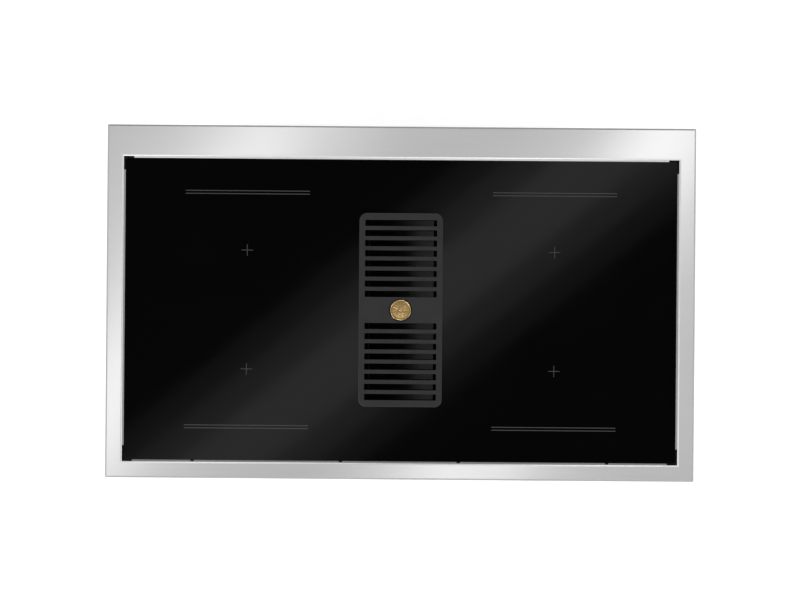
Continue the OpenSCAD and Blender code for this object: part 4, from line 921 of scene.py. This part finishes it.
class COOKER_OT_screws(bpy.types.Operator):
    """Fasten the back and side panels with pan-head screws"""

    bl_idname = "cooker.screws"
    bl_label = "Panel screws"

    def execute(self, context):
        # Zinc plate on steel: warm pale metal, rougher than the sheet round it
        zinc = mill_metal("zinc_plated_screws", "#C9C7BE", 0.3, (0.001, 0.001, 0.001))
        values = {"Head radius": context.scene.cooker_sizes.screw_head / 2, "Turn": (0.0, 0.0, 0.0)}
        tree = self.pan_heads(values, zinc)
        proud = 0.0004
        low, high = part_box("side_panels")
        back_y, left_x, right_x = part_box("back_panel")[1].y + proud, low.x - proud, high.x + proud
        down_edges = [(x, z) for z in (0.125, 0.36, 0.60, 0.845) for x in (-0.485, 0.485)]
        # Below, the exhaust spigot and the terminal box leave room for one screw between the edges
        between = [(0.29, 0.125), (-0.29, 0.845), (0.0, 0.845), (0.29, 0.845)]
        rear = [(x, back_y, z) for x, z in down_edges + between]
        side = [(y, z) for y in (-0.185, 0.25) for z in (0.125, 0.48, 0.835)]
        quarter = math.pi / 2
        sets = (
            ("back_screws", rear, (-quarter, 0, 0)),
            ("left_screws", [(left_x, y, z) for y, z in side], (0, -quarter, 0)),
            ("right_screws", [(right_x, y, z) for y, z in side], (0, quarter, 0)),
        )
        for name, points, turn in sets:
            values["Turn"] = turn
            keep_piece(shape_by_nodes(name, tree, values, points), zinc, "cabinet")
        return {"FINISHED"}

    def pan_heads(self, values, finish):
        """A tree that sets a pan head with a cross recess on each point, turned to its panel."""
        tree, inlet = start_tree("pan_head_screws", values)
        facets, rim_depth, crown_depth, flat_radius = 20, 0.0012, 0.0009, 0.0026
        crown_at, recess_at, arm, slot, bar_depth = 0.0006, 0.0022, 0.0036, 0.0009, 0.003
        disc = {"Vertices": facets, "Radius": inlet["Head radius"], "Depth": rim_depth}
        rim = add_node(tree, "GeometryNodeMeshCylinder", disc).outputs[0]
        slope = {"Vertices": facets, "Radius Top": flat_radius, "Depth": crown_depth}
        slope["Radius Bottom"] = inlet["Head radius"]
        crown = add_node(tree, "GeometryNodeMeshCone", slope).outputs[0]
        lift = {"Geometry": crown, "Translation": (0, 0, crown_at)}
        raised = add_node(tree, "GeometryNodeTransform", lift).outputs[0]
        crossed = {"Mesh 1": raised}
        cut = add_node(tree, "GeometryNodeMeshBoolean", crossed, operation="DIFFERENCE", solver="EXACT")
        for size in ((arm, slot, bar_depth), (slot, arm, bar_depth)):
            bar = add_node(tree, "GeometryNodeMeshCube", {"Size": size}).outputs[0]
            over = {"Geometry": bar, "Translation": (0, 0, recess_at)}
            tree.links.new(add_node(tree, "GeometryNodeTransform", over).outputs[0], cut.inputs["Mesh 2"])
        whole = add_node(tree, "GeometryNodeJoinGeometry")
        for half in (cut.outputs[0], rim):
            tree.links.new(half, whole.inputs[0])
        turned = {"Points": inlet["Geometry"], "Instance": whole.outputs[0], "Rotation": inlet["Turn"]}
        end_tree(tree, add_node(tree, "GeometryNodeInstanceOnPoints", turned).outputs[0], finish)
        return tree


# Studio


def hang(lamp, place, turn, pieces, state):
    """Hangs a lamp where the lens can't see it, and links its light to pieces: INCLUDE or EXCLUDE."""
    holder = bpy.data.objects.new(lamp.name, lamp)
    holder.location, holder.rotation_euler = place, turn
    holder.visible_camera = False
    bpy.context.scene.collection.objects.link(holder)
    group = bpy.data.collections.new(lamp.name + "_pieces")
    for piece in pieces:
        group.objects.link(piece)
    holder.light_linking.receiver_collection = group
    for row in group.collection_objects:
        row.light_linking.link_state = state


def strip_lamp(name, start, end, width, height, strength, pieces):
    """Hangs a long lamp over the line between two points of the hob, as the lens would see it mirrored.
    Height is above the glass, strength is the lamp's own brightness, and it lights the pieces alone."""
    lens_height = bpy.context.scene.cooker_studio.height - GLASS_TOP
    grow = (lens_height + height) / lens_height
    a, b = Vector(start) * grow, Vector(end) * grow
    lamp = bpy.data.lights.new(name, "AREA")
    lamp.shape, lamp.size, lamp.size_y = "RECTANGLE", (b - a).length, width
    lamp.energy = strength * math.pi * lamp.size * width
    place = ((a.x + b.x) / 2, (a.y + b.y) / 2, GLASS_TOP + height)
    hang(lamp, place, Euler((0, 0, math.atan2(b.y - a.y, b.x - a.x))), pieces, "INCLUDE")


def studio_lamp(name, place, aim_z, power, spared):
    """Hangs a soft square lamp that points at the cooker's axis and passes over the spared pieces."""
    lamp = bpy.data.lights.new(name, "AREA")
    lamp.size, lamp.energy = 1.8, power
    turn = (Vector((0, 0, aim_z)) - Vector(place)).to_track_quat("-Z", "Y").to_euler()
    hang(lamp, place, turn, spared, "EXCLUDE")


def seen_in_gloss(tree, rays):
    """1 for a ray that a shiny or clear surface sends on, otherwise 0."""
    either = {0: rays["Is Glossy Ray"], 1: rays["Is Transmission Ray"]}
    return add_node(tree, "ShaderNodeMath", either, operation="MAXIMUM").outputs[0]


class COOKER_OT_stage(bpy.types.Operator):
    """Set the floor, the room's light, the lamps and the camera above the cooker"""

    bl_idname = "cooker.stage"
    bl_label = "Studio"

    def execute(self, context):
        scene, studio = context.scene, context.scene.cooker_studio
        self.lay_floor(scene)
        scene.world = self.white_room(studio.sky)
        self.hang_lamps(studio.key)
        camera = bpy.data.cameras.new("camera")
        camera.lens, camera.sensor_width, camera.clip_end = studio.lens, 36.0, 100.0
        holder = bpy.data.objects.new("camera", camera)
        holder.location = (studio.aim_x, studio.aim_y, studio.height)
        holder.rotation_euler = (0.0, 0.0, studio.roll)
        scene.collection.objects.link(holder)
        scene.camera = holder
        scene.view_settings.view_transform = "Standard"
        return {"FINISHED"}

    def lay_floor(self, scene):
        """Lays the floor under the feet."""
        bm = bmesh.new()
        bmesh.ops.create_grid(bm, x_segments=1, y_segments=1, size=30.0)
        mesh = bpy.data.meshes.new("floor")
        bm.to_mesh(mesh)
        bm.free()
        floor = bpy.data.objects.new("floor", mesh)
        scene.collection.objects.link(floor)
        mesh.materials.append(self.white_floor())

    def hang_lamps(self, key):
        """Hangs three soft lamps for the body, and the strips whose mirror images show on the top."""
        nodes = frame["nodes"]
        steel, glass, brass = [nodes["worktop"]], [nodes["ceramic_glass"]], [nodes["medallion"]]
        filters = [bpy.data.objects["filter_sheets"], nodes["grease_filters"]]
        spared = [*steel, nodes["trim_strips"], *filters]
        studio_lamp("key_lamp", (-2.6, -2.4, 3.6), 0.6, key, spared)
        studio_lamp("fill_lamp", (3.2, -2.0, 2.6), 0.5, key * 0.45, spared)
        studio_lamp("back_lamp", (0.4, 3.4, 3.0), 0.6, key * 0.5, spared)
        left_band, right_band = ((-0.66, -0.46), (-0.09, 0.52)), ((0.0, -0.45), (0.60, 0.51))
        glass_band = ((-0.64, -0.55), (0.68, 0.52))
        # Name, line on the hob, width, height above the glass, brightness, pieces
        strips = (
            ("steel_panel", ((-0.9, 0), (0.9, 0)), 1.6, 1.7, 0.72, steel),
            ("steel_halo", left_band, 0.62, 1.65, 0.08, steel),
            ("steel_strip_left", left_band, 0.2, 1.6, 1.15, steel),
            ("steel_strip_right", right_band, 0.2, 1.6, 1.45, steel),
            ("glass_strip", glass_band, 0.44, 1.62, 0.085, glass),
            ("glass_strip", glass_band, 0.3, 1.61, 0.155, glass),
            ("glass_strip", glass_band, 0.15, 1.6, 0.235, glass),
            ("filter_strip", ((0.061, -0.4), (0.061, 0.4)), 0.11, 1.6, 0.42, filters),
            ("brass_panel", ((-0.1, 0.1), (0.3, 0.1)), 0.5, 1.6, 0.95, brass),
        )
        for name, (start, end), width, height, strength, pieces in strips:
            strip_lamp(name, start, end, width, height, strength, pieces)

    def white_floor(self):
        """Matt white floor that keeps the shadow, and reads as white to the lens and in gloss."""
        material = bpy.data.materials.new("white_floor")
        material.use_nodes = True
        tree = material.node_tree
        tree.nodes.clear()
        rays = add_node(tree, "ShaderNodeLightPath").outputs
        glow_in_gloss, glow_to_lens = 0.15, 0.56
        dimmed = {0: seen_in_gloss(tree, rays), 1: glow_in_gloss}
        faint = add_node(tree, "ShaderNodeMath", dimmed, operation="MULTIPLY").outputs[0]
        level = {0: rays["Is Camera Ray"], 2: faint, 3: glow_to_lens}
        lift = add_node(tree, "ShaderNodeMix", level).outputs[0]
        glow = add_node(tree, "ShaderNodeEmission", {"Strength": lift}).outputs[0]
        matt = add_node(tree, "ShaderNodeBsdfDiffuse", {"Color": (0.8, 0.8, 0.8, 1.0)}).outputs[0]
        both = add_node(tree, "ShaderNodeAddShader", {0: glow, 1: matt}).outputs[0]
        add_node(tree, "ShaderNodeOutputMaterial", {"Surface": both})
        return material

    def white_room(self, level):
        """White room whose ceiling is dark just overhead in gloss; the lens sees plain white."""
        world = bpy.data.worlds.new("white_room")
        world.use_nodes = True
        tree = world.node_tree
        tree.nodes.clear()
        rays = add_node(tree, "ShaderNodeLightPath").outputs
        way = add_node(tree, "ShaderNodeTexCoord").outputs["Generated"]
        axes = add_node(tree, "ShaderNodeSeparateXYZ", {0: way}).outputs
        # Places are the height of the way looked, from level at 0 to straight up at 1
        back_wall = ((0.45, 1.0), (0.66, 0.46), (0.86, 0.42), (0.9, 0.45), (0.93, 0.33), (0.975, 0.0))
        front_wall = ((0.45, 1.0), (0.55, 0.4), (0.72, 0.4), (0.8, 1.0), (0.93, 1.0), (0.975, 0.0))
        dim = self.bands(tree, axes["Z"], back_wall)
        lit = self.bands(tree, axes["Z"], front_wall)
        ahead = {"Value": axes["Y"], "From Min": -0.1, "From Max": -0.35, "To Min": 0.0, "To Max": 1.0}
        front = add_node(tree, "ShaderNodeMapRange", ahead).outputs[0]
        behind = {"Value": axes["Y"], "From Min": 0.2, "From Max": 0.6, "To Min": 1.0, "To Max": 0.6}
        rear = add_node(tree, "ShaderNodeMapRange", behind).outputs[0]
        walls = add_node(tree, "ShaderNodeMix", {0: front, 2: dim, 3: lit}).outputs[0]
        gloss = add_node(tree, "ShaderNodeMath", {0: walls, 1: rear}, operation="MULTIPLY").outputs[0]
        lighting = {0: seen_in_gloss(tree, rays), 2: level, 3: gloss}
        shone = add_node(tree, "ShaderNodeMix", lighting).outputs[0]
        seen = add_node(tree, "ShaderNodeMix", {0: rays["Is Camera Ray"], 2: shone, 3: 1.0}).outputs[0]
        white = {"Color": (1.0, 1.0, 1.0, 1.0), "Strength": seen}
        background = add_node(tree, "ShaderNodeBackground", white).outputs[0]
        add_node(tree, "ShaderNodeOutputWorld", {"Surface": background})
        return world

    def bands(self, tree, value, stops):
        """A grey that follows a value through stops of place and level."""
        ramp = add_node(tree, "ShaderNodeValToRGB", {0: value})
        points = ramp.color_ramp.elements
        while len(points) < len(stops):
            points.new(1.0)
        for point, (place, level) in zip(points, stops):
            point.position = place
            point.color = (level, level, level, 1.0)
        return ramp.outputs[0]


# Add-on

STEPS = (
    COOKER_OT_finishes,
    COOKER_OT_zone_marks,
    COOKER_OT_filter_sheets,
    COOKER_OT_strip_notch_fills,
    COOKER_OT_medallion_rim,
    COOKER_OT_dial_marks,
    COOKER_OT_clock,
    COOKER_OT_screws,
    COOKER_OT_stage,
)
GROUPS = {"cooker_sizes": CookerSizes, "cooker_colours": CookerColours, "cooker_studio": CookerStudio}


class COOKER_PT_panel(bpy.types.Panel):
    """Lists the cooker's pieces and their settings"""

    bl_idname = "COOKER_PT_panel"
    bl_label = "Induction range cooker"
    bl_space_type = "VIEW_3D"
    bl_region_type = "UI"
    bl_category = "Cooker"

    def draw(self, context):
        for step in STEPS:
            self.layout.operator(step.bl_idname)
        for name, group in GROUPS.items():
            for setting in group.__annotations__:
                self.layout.prop(getattr(context.scene, name), setting)


def register():
    """Registers the classes and the scene's settings."""
    for kind in (*GROUPS.values(), *STEPS, COOKER_PT_panel):
        bpy.utils.register_class(kind)
    for name, kind in GROUPS.items():
        setattr(bpy.types.Scene, name, PointerProperty(type=kind))


def unregister():
    """Removes the scene's settings and the classes."""
    for name in GROUPS:
        delattr(bpy.types.Scene, name)
    for kind in reversed((*GROUPS.values(), *STEPS, COOKER_PT_panel)):
        bpy.utils.unregister_class(kind)


def main():
    """Makes every piece in order."""
    register()
    for step in STEPS:
        group, name = step.bl_idname.split(".")
        getattr(getattr(bpy.ops, group), name)()


if __name__ == "__main__":
    main()
